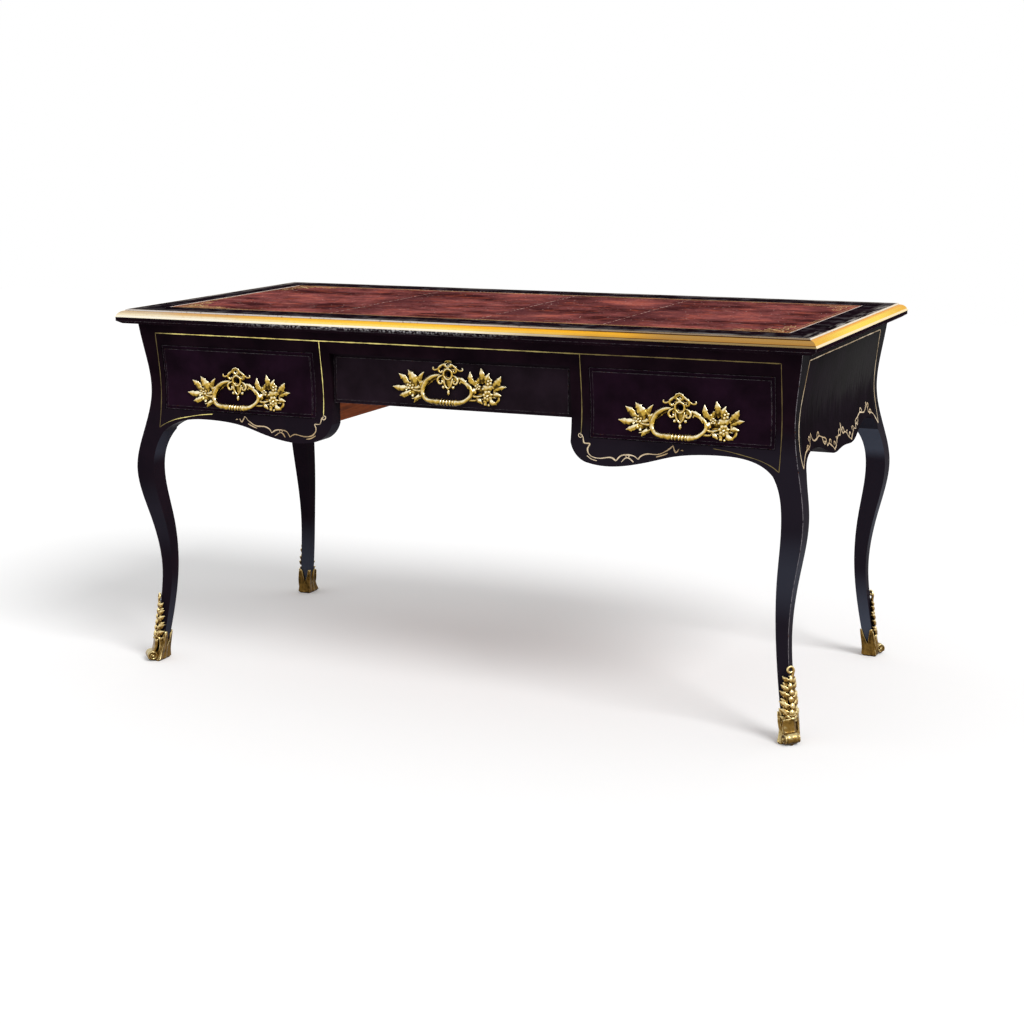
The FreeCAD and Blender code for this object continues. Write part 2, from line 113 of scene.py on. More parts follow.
def makeStudio():
    sun = bpy.data.lights.new("windowLight", "SUN")
    sun.energy = studio["sunStrength"]
    sun.angle = math.radians(studio["sunSpread"])
    lamp = addObject("windowLight", sun)
    lamp.rotation_euler = Vector(studio["sunFrom"]).to_track_quat("Z", "Y").to_euler()

    world = bpy.data.worlds.new("whiteRoom")
    scene.world = world
    world.use_nodes = True
    tree = world.node_tree
    tree.nodes.clear()
    level = asSeen(tree, studio["skyLight"], studio["skySeen"])
    glow = put(tree, "Background", {"Color": studio["white"], "Strength": level})
    put(tree, "OutputWorld", (glow,))

    half = studio["floorSize"] / 2
    mesh = bpy.data.meshes.new("paleFloor")
    mesh.from_pydata([(-half, -half, 0), (half, -half, 0), (half, half, 0), (-half, half, 0)], [], [(0, 1, 2, 3)])
    floor = addObject("paleFloor", mesh)
    material, tree = newMaterial("paintedBoardMatt")
    level = asSeen(tree, 0.0, studio["floorGlow"])
    paint = put(tree, "BsdfDiffuse", {"Color": studio["floorColour"]})
    lift = put(tree, "Emission", {"Color": studio["white"], "Strength": level})
    both = put(tree, "AddShader", (paint, lift))
    put(tree, "OutputMaterial", (both,))
    mesh.materials.append(material)

    camera = bpy.data.cameras.new("camera")
    camera.lens = studio["lens"]
    camera.sensor_width = studio["sensor"]
    camera.clip_end = studio["sight"]
    eye = addObject("camera", camera)
    turn = Matrix.Rotation(math.radians(studio["turn"]), 4, "Z")
    down = Matrix.Rotation(math.radians(90 - studio["down"]), 4, "X")
    roll = Matrix.Rotation(math.radians(studio["roll"]), 4, "Z")
    eye.matrix_world = Matrix.Translation(studio["place"]) @ turn @ down @ roll
    scene.camera = eye
    scene.view_settings.view_transform = "Standard"
    print("studio: floor, sun, sky and camera")


makeStudio()


lacquer = {
    # among these tints the blue-grey is a painted sheen, the slate a painted cooler sheen low down, the grey a painted
    # gloss band and the near-black post tint a painted shade
    "deep": "#120a10", "warm": "#1e1119", "plumDeep": "#150b13", "plumWarm": "#231220", "ashDeep": "#1a1318",
    "ashWarm": "#261c24", "sideDeep": "#0f090e", "sideWarm": "#181018", "bloomAndSheen": "#454a57", "lowSheenSlate": "#211d25",
    "post": "#08050a", "grey": "#3f403d", "paleWearAndHighlight": "#9b949a", "scuff": "#c4bdb6", "speck": "#f0eef2", "chip": "#6b3d1c",
    "cloud": 80.0, "streak": 9.0, "brush": 5.0, "crumb": 5.0, "rimStreak": 9.0, "speckSize": 5.0, "wave": 0.3,
    "brushed": (1.0, 1.0, 0.05),                    # stroked up and down
    # scratches and haze: slant, stretch, size, threshold, share
    "scratches": ((0.0, 1.0, 34.0, 0.5, 0.45), (0.12, 0.12, 4.0, 0.68, 1.0), (1.5, 0.12, 4.0, 0.69, 1.0),
                  (0.7, 0.2, 5.0, 0.7, 1.0)),
    # rubbed rims of the top: axis, where it starts and ends, stretch
    "rims": (("Y", 0.322, 0.347, (0.1, 1.0, 1.0)), ("X", 0.724, 0.749, (1.0, 0.1, 1.0))),
    # the stretch of lip that sleeves rub: axis, from nothing, to full
    "lip": (("Z", 0.756, 0.765), ("Z", 0.75, 0.764), ("X", -0.5, -0.3), ("X", 0.2, -0.06)),
    "legCorner": (("X", 0.706), ("Y", 0.304)),      # a leg's outer arris lies beyond these
}


# Pear wood stained black and French polished: a thin black skin with a plum tint, a painted blue-grey sheen where it
# leans over, paled on its arrises by rubbing and by a painted highlight.
def ebonisedPear(name, gloss, rough, bloomAndSheen, edgeWearAndHighlight, tint=("deep", "warm"), arris=1.1, lowSheen=0.0, shin=0.0, glossBand=0.0,
                 scuffed=0.0):
    material, tree = newMaterial(name)
    where = put(tree, "TexCoord").outputs["Object"]
    normal = put(tree, "NewGeometry").outputs["Normal"]
    cloud = put(tree, "TexNoise", {"Vector": where, "Size": lacquer["cloud"], "Detail": 4.0, "Roughness": 0.6})
    fine = put(tree, "TexNoise", {"Vector": where, "Size": lacquer["streak"], "Detail": 5.0, "Roughness": 0.7})
    tall = put(tree, "VectorMath", (where, lacquer["brushed"]), operation="MULTIPLY")
    brush = put(tree, "TexNoise", {"Vector": tall, "Size": lacquer["brush"], "Detail": 3.0})
    tone = put(tree, "MapRange", (cloud, 0.36, 0.66))
    base = put(tree, "Mix", (tone, lacquer[tint[0]], lacquer[tint[1]]))

    # painted sheen: the black painted a cooler slate towards the floor, more so to the right
    spot = put(tree, "SeparateXYZ", (where,))
    right = put(tree, "MapRange", (spot.outputs["X"], -0.7, 0.7, 0.4))
    if lowSheen:
        base = lay(tree, base, lacquer["lowSheenSlate"], (spot.outputs["Z"], 0.61, 0.55, 0.0, lowSheen), right)

    # painted reflection: the floor's light painted as a blue-grey sheen on inner faces that lean over the floor
    tilt = put(tree, "SeparateXYZ", (normal,))
    over = put(tree, "MapRange", (tilt.outputs["Z"], -0.04, -0.2), interpolation_type="SMOOTHSTEP")
    plan = put(tree, "VectorMath", (where, (1.0, 1.0, 0.0)), operation="MULTIPLY")
    facing = put(tree, "VectorMath", (plan, normal), operation="DOT_PRODUCT")
    inward = put(tree, "Math", (facing, -0.1), operation="LESS_THAN")
    rear = put(tree, "MapRange", (spot.outputs["Y"], -0.1, 0.1, 0.42))
    leans = over
    for share in (bloomAndSheen, inward, rear):
        leans = put(tree, "Math", (leans, share), operation="MULTIPLY")
    # painted sheen as well on the lower fronts of the legs, more so to the right
    if shin:
        low = put(tree, "MapRange", (spot.outputs["Z"], 0.44, 0.34))
        shins = put(tree, "Math", (low, right), operation="MULTIPLY")
        shins = put(tree, "Math", (shins, over), operation="MULTIPLY")
        leans = put(tree, "Math", (shins, shin, leans), operation="MULTIPLY_ADD", use_clamp=True)
    base = lay(tree, base, lacquer["bloomAndSheen"], leans)

    if glossBand:                                      # painted reflection: a brushed grey gloss band painted over the upper back of a side
        torn = put(tree, "Math", (brush, 0.16, spot.outputs["Z"]), operation="MULTIPLY_ADD")
        base = lay(tree, base, lacquer["grey"], (torn, 0.69, 0.72), (spot.outputs["Y"], -0.3, 0.12, 0.1),
                   (brush, 0.3, 0.7, 0.75), glossBand)

    if scuffed:                                     # scratches and rubbed haze along the boards
        level = put(tree, "Math", (tilt.outputs["Z"], 0.5), operation="GREATER_THAN")
        for slant, stretch, size, least, most in lacquer["scratches"]:
            turned = put(tree, "VectorRotate", {"Vector": where, "Angle": slant}, rotation_type="Z_AXIS")
            laid = put(tree, "VectorMath", (turned, (stretch, 1.0, 1.0)), operation="MULTIPLY")
            cells = put(tree, "TexNoise", {"Vector": laid, "Size": size, "Detail": 4.0, "Roughness": 0.6})
            base = lay(tree, base, lacquer["paleWearAndHighlight"], (cells, least, least + 0.16, 0.0, scuffed * most), level)
        upper = put(tree, "MapRange", (spot.outputs["Z"], 0.754, 0.766))
        for axis, start, end, stretch in lacquer["rims"]:
            reach = put(tree, "Math", (spot.outputs[axis],), operation="ABSOLUTE")
            near = put(tree, "MapRange", (reach, start, end, 0.0, 0.8))
            near = put(tree, "Math", (near, upper), operation="MULTIPLY")
            laid = put(tree, "VectorMath", (where, stretch), operation="MULTIPLY")
            cells = put(tree, "TexNoise", {"Vector": laid, "Size": lacquer["rimStreak"], "Detail": 5.0,
                                           "Roughness": 0.65})
            base = lay(tree, base, lacquer["scuff"], (cells, 0.5, 0.64), near, level)

        # fine white specks on the lip where sleeves rub it, left of the middle
        specks = put(tree, "TexNoise", {"Vector": where, "Size": lacquer["speckSize"], "Detail": 4.0,
                                        "Roughness": 0.75})
        lip = [(spot.outputs[axis], start, end) for axis, start, end in lacquer["lip"]]
        upright = put(tree, "Math", (1.0, level), operation="SUBTRACT")
        base = lay(tree, base, lacquer["speck"], (specks, 0.5, 0.57), *lip, upright)

    if shin:                                        # painted shade: the sunlit side of a post is painted a deep black
        base = lay(tree, base, lacquer["post"], (tilt.outputs["X"], 0.3, 0.7, 0.0, 0.9),
                   (spot.outputs["Z"], 0.5, 0.58))

    # pale arrises, rubbed and with a painted highlight: where a rounded normal leaves the flat one
    rounded = put(tree, "Bevel", {"Radius": arris * mm}, samples=6)
    meet = put(tree, "VectorMath", (rounded, normal), operation="DOT_PRODUCT")
    edge = put(tree, "MapRange", (meet, 0.98, 0.8))
    if shin:                                        # a leg is paled, rubbed and painted as lit, on its outer corner, not at its joints
        for axis, least in lacquer["legCorner"]:
            reach = put(tree, "Math", (spot.outputs[axis],), operation="ABSOLUTE")
            beyond = put(tree, "Math", (reach, least), operation="GREATER_THAN")
            edge = put(tree, "Math", (edge, beyond), operation="MULTIPLY")
    patch = put(tree, "MapRange", (fine, 0.38, 0.66))
    rubbedAndLit = put(tree, "Math", (edge, patch), operation="MULTIPLY")
    rubbedAndLit = put(tree, "Math", (rubbedAndLit, edgeWearAndHighlight), operation="MULTIPLY", use_clamp=True)
    base = lay(tree, base, lacquer["paleWearAndHighlight"], rubbedAndLit)
    crumbs = put(tree, "TexNoise", {"Vector": where, "Size": lacquer["crumb"], "Detail": 2.0})
    lost = put(tree, "MapRange", (crumbs, 0.64, 0.67, 0.0, min(1.0, edgeWearAndHighlight * 1.5)))
    lost = put(tree, "Math", (lost, edge), operation="MULTIPLY", use_clamp=True)
    base = lay(tree, base, lacquer["chip"], lost)

    sheen = put(tree, "MapRange", (brush, 0.3, 0.7, rough - 0.08, rough + 0.1))
    waves = put(tree, "Bump", {"Height": brush, "Strength": 0.1, "Distance": lacquer["wave"] * mm})
    shell = put(tree, "BsdfPrincipled", {"Base Color": base, "Roughness": sheen, "IOR": 1.5,
                                         "Specular IOR Level": gloss, "Normal": waves})
    put(tree, "OutputMaterial", (shell,))
    return material


ormolu = {
    "pull": {"bright": "#fff6d2", "mid": "#c9a546", "deep": "#42300d", "black": "#110b05"},
    "shoe": {"bright": "#f4e0a4", "mid": "#967338", "deep": "#33240d", "black": "#100a04", "toe": "#4d3a17"},
    "patch": 12.0, "grit": 1.4, "gritDepth": 0.2, "hollow": 5.0, "toe": (0.064, 0.042),
}


# Fire-gilt cast bronze, chased: ridges rubbed bright and painted as highlights, upward faces painted lit, undersides
# painted olive as shade, painted black-brown shade with some dirt in the hollows.
def giltBronze(name, tones):
    material, tree = newMaterial(name)
    where = put(tree, "TexCoord").outputs["Object"]
    shape = put(tree, "NewGeometry")
    patch = put(tree, "TexNoise", {"Vector": where, "Size": ormolu["patch"], "Detail": 4.0, "Roughness": 0.65})
    grit = put(tree, "TexNoise", {"Vector": where, "Size": ormolu["grit"], "Detail": 2.0})
    # painted light: ridges painted brighter, partly as rubbed wear; upward faces painted lighter and undersides darker,
    # with random stains
    ridge = put(tree, "MapRange", (shape.outputs["Pointiness"], 0.465, 0.55))
    tilt = put(tree, "SeparateXYZ", (shape.outputs["Normal"],))
    upper = put(tree, "MapRange", (tilt.outputs["Z"], -0.5, 0.62))
    rubAndLight = put(tree, "Math", (upper, 0.5), operation="MULTIPLY")
    rubAndLight = put(tree, "Math", (ridge, 0.5, rubAndLight), operation="MULTIPLY_ADD")
    stain = put(tree, "MapRange", (patch, 0.3, 0.7, 0.14, -0.16))
    rubAndLight = put(tree, "Math", (rubAndLight, stain), operation="ADD")
    low = put(tree, "MapRange", (rubAndLight, 0.24, 0.5))
    gold = put(tree, "Mix", (low, tones["deep"], tones["mid"]))
    gold = lay(tree, gold, tones["bright"], (rubAndLight, 0.54, 0.78))
    if "toe" in tones:                              # painted shade: darker towards the floor
        spot = put(tree, "SeparateXYZ", (where,))
        gold = lay(tree, gold, tones["toe"], (spot.outputs["Z"], *ormolu["toe"], 0.0, 0.42))
    # painted shade in the hollows, with some real dirt there
    hidden = put(tree, "AmbientOcclusion", {"Distance": ormolu["hollow"] * mm}, samples=8)
    gold = lay(tree, gold, tones["black"], (hidden.outputs["AO"], 0.84, 0.36, 0.0, 0.95))
    rough = put(tree, "MapRange", (patch, 0.35, 0.65, 0.18, 0.34))
    chased = put(tree, "Bump", {"Height": grit, "Strength": 0.25, "Distance": ormolu["gritDepth"] * mm})
    metal = put(tree, "BsdfPrincipled", {"Base Color": gold, "Metallic": 1.0, "Roughness": rough, "Normal": chased})
    put(tree, "OutputMaterial", (metal,))
    return material


drawnGilt = {
    "left": "#d6c2a8", "brown": "#dda865", "pale": "#ffc640", "rich": "#ffba2e", "dull": "#b2894d", "cream": "#ffe680",
    "ivory": "#f4e8d6", "shade": "#b07a2a", "flank": "#f5a52a", "flankLow": "#ffec6c", "flankEnd": "#eba93e",
    "bare": "#fff8e4", "silver": "#cdc6c2", "fillet": "#94816a", "cleanFillet": "#f6f7ff", "rust": "#553015",
    "foot": "#9a8256", "rim": "#ffe8b8",
    "drift": 140.0, "fine": 6.0, "streak": 2.4, "drawn": (1.0, 0.07, 1.0), "side": (0.7495, 0.7505),
    # painted light along the front: tint, from nothing, to full
    "lengths": (("brown", -0.72, -0.5), ("pale", -0.48, -0.24), ("rich", -0.1, 0.12), ("dull", 0.24, 0.56)),
    # painted reflection under the round: tint, from nothing, to full, most
    "under": (("cream", 0.38, 0.06, 0.85), ("ivory", -0.26, -0.5, 0.8), ("shade", 0.06, 0.38, 0.45)),
    # thin bands by height in mm, on the painted-shaded length to the right and on the painted-bright rest
    "shadedEnd": (("rust", 768.7, 768.3), ("foot", 767.5, 767.1), ("rust", 776.2, 776.5), ("fillet", 777.75, 777.9)),
    "rubbedAndLit": (("bare", 768.3, 767.8), ("silver", 777.1, 777.5)),
}


# Bronze strip drawn through a die and gilded: even bands along its length, painted bright along the middle of the front
# as its reflection, painted browner as shade towards one end.
def drawnBronze():
    material, tree = newMaterial("bronzeDrawnGilt")
    where = put(tree, "TexCoord").outputs["Object"]
    spot = put(tree, "SeparateXYZ", (where,))
    height = spot.outputs["Z"]
    along = put(tree, "TexNoise", {"Vector": where, "Size": drawnGilt["drift"], "Detail": 2.0})
    fine = put(tree, "TexNoise", {"Vector": where, "Size": drawnGilt["fine"], "Detail": 4.0, "Roughness": 0.7})
    drift = put(tree, "MapRange", (along, 0.3, 0.7, -0.08, 0.08))
    x = put(tree, "Math", (spot.outputs["X"], drift), operation="ADD")
    # painted light: tints along the front, from the pale left end through bright gold to the dull right end
    colour = drawnGilt["left"]
    for tint, start, end in drawnGilt["lengths"]:
        share = put(tree, "MapRange", (x, start, end), interpolation_type="SMOOTHSTEP")
        colour = lay(tree, colour, drawnGilt[tint], share)
    # painted reflection: the lower half of the round painted cream on the left, shaded brown to the right
    under = put(tree, "MapRange", (height, 0.7738, 0.7704))
    for tint, start, end, most in drawnGilt["under"]:
        colour = lay(tree, colour, drawnGilt[tint], (x, start, end, 0.0, most), under)

    # the two side lengths, painted as a lit copy of the front: orange above, yellow below, browner at the corners,
    # streaked
    reach = put(tree, "Math", (spot.outputs["X"],), operation="ABSOLUTE")
    flank = put(tree, "MapRange", (reach, *drawnGilt["side"]))
    face = put(tree, "SeparateXYZ", (put(tree, "NewGeometry").outputs["Normal"],))
    sideways = put(tree, "Math", (face.outputs["X"],), operation="ABSOLUTE")
    sideways = put(tree, "MapRange", (sideways, 0.02, 0.1))
    flank = put(tree, "Math", (flank, sideways), operation="MULTIPLY")
    lower = put(tree, "MapRange", (height, 0.7768, 0.7748))
    ember = put(tree, "Mix", (lower, drawnGilt["flank"], drawnGilt["flankLow"]))
    ends = put(tree, "Math", (spot.outputs["Y"],), operation="ABSOLUTE")
    ember = lay(tree, ember, drawnGilt["flankEnd"], (ends, 0.12, 0.34, 0.0, 0.8))
    drawn = put(tree, "VectorMath", (where, drawnGilt["drawn"]), operation="MULTIPLY")
    drawn = put(tree, "TexNoise", {"Vector": drawn, "Size": drawnGilt["streak"], "Detail": 3.0})
    ember = lay(tree, ember, drawnGilt["cream"], (drawn, 0.5, 0.66, 0.0, 0.3))
    colour = lay(tree, colour, ember, flank)

    colour = lay(tree, colour, drawnGilt["dull"], (fine, 0.5, 0.75, 0.0, 0.3))
    # painted shade: the right length of the front painted browner with dark bands; the rest gets near-white and silver
    # lines as painted highlights
    shadedEnd = put(tree, "MapRange", (x, 0.0, 0.35))
    front = put(tree, "Math", (1.0, flank), operation="SUBTRACT")
    shadedEnd = put(tree, "Math", (shadedEnd, front), operation="MULTIPLY")
    rubbedAndLit = put(tree, "Math", (1.0, shadedEnd), operation="SUBTRACT")
    for bands, only in (("shadedEnd", shadedEnd), ("rubbedAndLit", rubbedAndLit)):
        for tint, start, end in drawnGilt[bands]:
            colour = lay(tree, colour, drawnGilt[tint], (height, start * mm, end * mm), only)
    # painted highlight: a white line along the fillet of the side lengths
    colour = lay(tree, colour, drawnGilt["cleanFillet"], (height, 0.77775, 0.7779), flank)
    colour = lay(tree, colour, drawnGilt["rust"], (fine, 0.58, 0.68, 0.0, 0.7), (height, 0.7768, 0.7772))
    rough = put(tree, "MapRange", (fine, 0.3, 0.7, 0.22, 0.38))
    metal = put(tree, "BsdfPrincipled", {"Base Color": colour, "Metallic": 1.0, "Roughness": rough,
                                         "Specular Tint": drawnGilt["rim"]})
    put(tree, "OutputMaterial", (metal,))
    return material


shellGold = {
    "line": {"bright": "#fff09a", "dull": "#e6d27c", "lost": "#4a3a20", "aged": "#5a4932"},
    "scroll": {"bright": "#ead6b6", "dull": "#b3956a", "lost": "#2c2018"},
    "tool": {"bright": "#c9a467", "dull": "#a5744c", "lost": "#6b3a32"},
    "rubAndLight": 10.0, "tint": 120.0, "grain": 0.9, "grainDepth": 0.1,
}


# Shell gold laid with a brush over the black: thin, grainy, bright in some strokes and rubbed through in others.
def brushedShellGold(name, tones, most, metal=0.3):
    material, tree = newMaterial(name)
    where = put(tree, "TexCoord").outputs["Object"]
    rubAndLight = put(tree, "TexNoise", {"Vector": where, "Size": shellGold["rubAndLight"], "Detail": 5.0, "Roughness": 0.7})
    tint = put(tree, "TexNoise", {"Vector": where, "Size": shellGold["tint"], "Detail": 2.0})
    tint = put(tree, "MapRange", (tint, 0.36, 0.62))
    gold = put(tree, "Mix", (tint, tones["dull"], tones["bright"]))
    gold = lay(tree, gold, tones["lost"], (rubAndLight, 0.54, 0.7, 0.0, most))
    if "aged" in tones:                                        # duller to the right and at the outer corners
        spot = put(tree, "SeparateXYZ", (where,))
        reach = put(tree, "Math", (spot.outputs["X"],), operation="ABSOLUTE")
        ends = put(tree, "MapRange", (reach, 0.64, 0.69, 0.0, 0.92))
        right = put(tree, "MapRange", (spot.outputs["X"], -0.15, 0.35, 0.0, 0.9))
        dim = put(tree, "Math", (ends, right), operation="MAXIMUM")
        ahead = put(tree, "Math", (reach, 0.7), operation="LESS_THAN")
        gold = lay(tree, gold, tones["aged"], dim, ahead)
    grain = put(tree, "TexNoise", {"Vector": where, "Size": shellGold["grain"]})
    bump = put(tree, "Bump", {"Height": grain, "Strength": 0.3, "Distance": shellGold["grainDepth"] * mm})
    paint = put(tree, "BsdfPrincipled", {"Base Color": gold, "Metallic": metal, "Roughness": 0.5,
                                         "Specular IOR Level": 0.05, "Normal": bump})
    put(tree, "OutputMaterial", (paint,))
    return material


morocco = {
    "mid": "#8d4d4b", "dark": "#431f21", "ember": "#bd5a41", "blush": "#c46a58", "pale": "#e0bdb3", "plum": "#3f2229",
    "soot": "#2c1517", "cloud": 110.0, "streak": 26.0, "mottle": 8.0, "dot": 7.0, "grain": 2.2, "grainDepth": 0.2,
    "broad": (0.75, 1.0, 1.0), "thin": (0.4, 1.0, 1.0), "scratched": (0.07, 1.0, 1.0), "seams": (-0.3, 0.038, 0.309),
    # scratches: slant, size, threshold, most
    "scratches": ((0.35, 3.4, 0.715, 0.6), (-0.5, 4.2, 0.725, 0.65), (1.3, 4.0, 0.735, 0.6), (0.05, 6.0, 0.69, 0.4)),
}


# Goatskin dyed red and pasted down: streaky along the desk, darker by the seams, scuffed pale, dry and fine grained.
def redMorocco():
    material, tree = newMaterial("redMoroccoPasted")
    where = put(tree, "TexCoord").outputs["Object"]
    broad = put(tree, "VectorMath", (where, morocco["broad"]), operation="MULTIPLY")
    cloud = put(tree, "TexNoise", {"Vector": broad, "Size": morocco["cloud"], "Detail": 6.0, "Roughness": 0.65})
    thin = put(tree, "VectorMath", (where, morocco["thin"]), operation="MULTIPLY")
    streak = put(tree, "TexNoise", {"Vector": thin, "Size": morocco["streak"], "Detail": 5.0, "Roughness": 0.65})
    tone = put(tree, "MapRange", (cloud, 0.4, 0.57))
    base = put(tree, "Mix", (tone, morocco["dark"], morocco["mid"]))
    # brighter streaks of dye, partly painted glints of light
    base = lay(tree, base, morocco["ember"], (streak, 0.52, 0.72, 0.0, 0.7))

    # old dye and hand dirt gathered beside each seam
    spot = put(tree, "SeparateXYZ", (where,))
    wisp = put(tree, "MapRange", (cloud, 0.38, 0.56, 0.0, 0.7))
    for seam in morocco["seams"]:
        away = put(tree, "Math", (spot.outputs["X"], seam), operation="SUBTRACT")
        base = lay(tree, base, morocco["plum"], (away, -0.03, 0.004), (away, 0.13, 0.02), wisp)
    base = lay(tree, base, morocco["blush"], (cloud, 0.56, 0.68, 0.0, 0.55))

    # fine mottling, then pale scratches, scuffs and specks
    mottle = put(tree, "TexNoise", {"Vector": where, "Size": morocco["mottle"], "Detail": 3.0, "Roughness": 0.7})
    base = lay(tree, base, morocco["soot"], (mottle, 0.48, 0.3, 0.0, 0.7))
    for slant, size, least, most in morocco["scratches"]:
        turned = put(tree, "VectorRotate", {"Vector": where, "Angle": slant}, rotation_type="Z_AXIS")
        laid = put(tree, "VectorMath", (turned, morocco["scratched"]), operation="MULTIPLY")
        cells = put(tree, "TexNoise", {"Vector": laid, "Size": size, "Detail": 2.0})
        base = lay(tree, base, morocco["pale"], (cells, least, least + 0.06, 0.0, most))
    dots = put(tree, "TexNoise", {"Vector": where, "Size": morocco["dot"], "Detail": 2.0})
    base = lay(tree, base, morocco["pale"], (dots, 0.71, 0.75, 0.0, 0.8))

    pebble = put(tree, "TexVoronoi", {"Vector": where, "Size": morocco["grain"]}, feature="SMOOTH_F1")
    rough = put(tree, "MapRange", (streak, 0.3, 0.7, 0.5, 0.7))
    bump = put(tree, "Bump", {"Height": pebble, "Strength": 0.3, "Distance": morocco["grainDepth"] * mm})
    skin = put(tree, "BsdfPrincipled", {"Base Color": base, "Roughness": rough, "Specular IOR Level": 0.0,
                                        "Normal": bump})
    put(tree, "OutputMaterial", (skin,))
    return material


rawHide = {"dark": "#6e3833", "pale": "#d8b3a8", "ends": "#f2e8e2", "chip": 12.0, "fibre": 0.2,
           "cutEnd": (0.66, 0.68)}


# The raw edge of two skins butted together: fibres rubbed pale, chipped; nearly white along the two cut ends.
def rubbedSeam():
    material, tree = newMaterial("leatherEdgeRubbed")
    where = put(tree, "TexCoord").outputs["Object"]
    chips = put(tree, "TexNoise", {"Vector": where, "Size": rawHide["chip"], "Detail": 4.0, "Roughness": 0.7})
    tone = put(tree, "MapRange", (chips, 0.44, 0.66))
    base = put(tree, "Mix", (tone, rawHide["dark"], rawHide["pale"]))
    spot = put(tree, "SeparateXYZ", (where,))
    reach = put(tree, "Math", (spot.outputs["X"],), operation="ABSOLUTE")
    base = lay(tree, base, rawHide["ends"], (reach, *rawHide["cutEnd"], 0.0, 0.85))
    fibre = put(tree, "Bump", {"Height": chips, "Strength": 0.4, "Distance": rawHide["fibre"] * mm})
    skin = put(tree, "BsdfPrincipled", {"Base Color": base, "Roughness": 0.75, "Specular IOR Level": 0.0,
                                        "Normal": fibre})
    put(tree, "OutputMaterial", (skin,))
    return material


bareOak = {"dark": "#6a3318", "light": "#9c5128", "pit": "#3a1c0e", "ring": 9.0, "pore": 1.6, "poreDepth": 0.3,
           "grain": (1.0, 0.05, 1.0)}


# Oak left from the saw and plane: orange-brown, straight grained, dusty.
def planedOak():
    material, tree = newMaterial("oakPlanedBare")
    where = put(tree, "TexCoord").outputs["Object"]
    along = put(tree, "VectorMath", (where, bareOak["grain"]), operation="MULTIPLY")
    rings = put(tree, "TexNoise", {"Vector": along, "Size": bareOak["ring"], "Detail": 5.0, "Roughness": 0.6,
                                   "Distortion": 0.6})
    pores = put(tree, "TexNoise", {"Vector": along, "Size": bareOak["pore"], "Detail": 2.0})
    tone = put(tree, "MapRange", (rings, 0.35, 0.65))
    base = put(tree, "Mix", (tone, bareOak["dark"], bareOak["light"]))
    base = lay(tree, base, bareOak["pit"], (pores, 0.6, 0.7, 0.0, 0.6))
    bump = put(tree, "Bump", {"Height": pores, "Strength": 0.3, "Distance": bareOak["poreDepth"] * mm})
    wood = put(tree, "BsdfPrincipled", {"Base Color": base, "Roughness": 0.7, "Specular IOR Level": 0.1,
                                        "Normal": bump})
    put(tree, "OutputMaterial", (wood,))
    return material


wroughtIron = {"clean": "#6a6a6a", "rust": "#5a3a26", "bloomAndSheen": 7.0}


# Wrought iron, filed: grey with brown rust bloom.
def filedIron():
    material, tree = newMaterial("ironFiled")
    where = put(tree, "TexCoord").outputs["Object"]
    bloomAndSheen = put(tree, "TexNoise", {"Vector": where, "Size": wroughtIron["bloomAndSheen"], "Detail": 4.0})
    tone = put(tree, "MapRange", (bloomAndSheen, 0.48, 0.62))
    base = put(tree, "Mix", (tone, wroughtIron["clean"], wroughtIron["rust"]))
    rough = put(tree, "MapRange", (bloomAndSheen, 0.0, 1.0, 0.35, 0.75))
    metal = put(tree, "BsdfPrincipled", {"Base Color": base, "Metallic": 0.8, "Roughness": rough})
    put(tree, "OutputMaterial", (metal,))
    return material


faceBlack = ebonisedPear("pearEbonisedPolished", gloss=0.003, rough=0.3, bloomAndSheen=0.3, edgeWearAndHighlight=0.0, lowSheen=0.9)
drawerBlack = ebonisedPear("pearEbonisedFielded", gloss=0.003, rough=0.3, bloomAndSheen=0.1, edgeWearAndHighlight=0.85,
                           tint=("plumDeep", "plumWarm"), arris=1.2)
legBlack = ebonisedPear("pearEbonisedCarved", gloss=0.0015, rough=0.28, bloomAndSheen=0.85, edgeWearAndHighlight=2.6, arris=2.2, lowSheen=0.9,
                        shin=0.36)
# the sides take a darker copy of the black tints: painted shade on their sunlit faces
sideBlack = ebonisedPear("pearEbonisedBrushed", gloss=0.0004, rough=0.28, bloomAndSheen=0.2, edgeWearAndHighlight=0.0,
                         tint=("sideDeep", "sideWarm"), glossBand=0.36)
flatBlack = ebonisedPear("pearEbonisedFlat", gloss=0.003, rough=0.3, bloomAndSheen=0.1, edgeWearAndHighlight=0.85,
                         tint=("ashDeep", "ashWarm"), arris=1.2)
topBlack = ebonisedPear("pearEbonisedWorn", gloss=0.0, rough=0.5, bloomAndSheen=0.0, edgeWearAndHighlight=0.9, arris=1.6, scuffed=0.34)
pullGilt = giltBronze("bronzeCastGiltBright", ormolu["pull"])
shoeGilt = giltBronze("bronzeCastGiltDull", ormolu["shoe"])
edgeGilt = drawnBronze()
paintGold = brushedShellGold("shellGoldBrushed", shellGold["line"], most=0.6, metal=0.9)
paleGold = brushedShellGold("shellGoldRubbed", shellGold["scroll"], most=0.75)
toolGold = brushedShellGold("goldLeafTooled", shellGold["tool"], most=0.85)
leather = redMorocco()
seamHide = rubbedSeam()
oak = planedOak()
iron = filedIron()

# a solid takes the first finish whose pattern fits its name
finishes = (
    ("kneehole|runners|top_panel|drawer_.*_(side_left|side_right|back|bottom)$", oak), (".*(lock|nuts)$", iron),
    ("top_frame", topBlack), ("edge", edgeGilt), ("sabot", shoeGilt), ("sham_pulls|.*pull$", pullGilt),
    ("leather", leather), ("leg", legBlack), ("side_panel", sideBlack), ("drawer_center_front$", flatBlack),
    ("drawer|sham_fronts", drawerBlack), ("", faceBlack),
)


def dress(piece, material):
    piece.data.materials.clear()
    piece.data.materials.append(material)


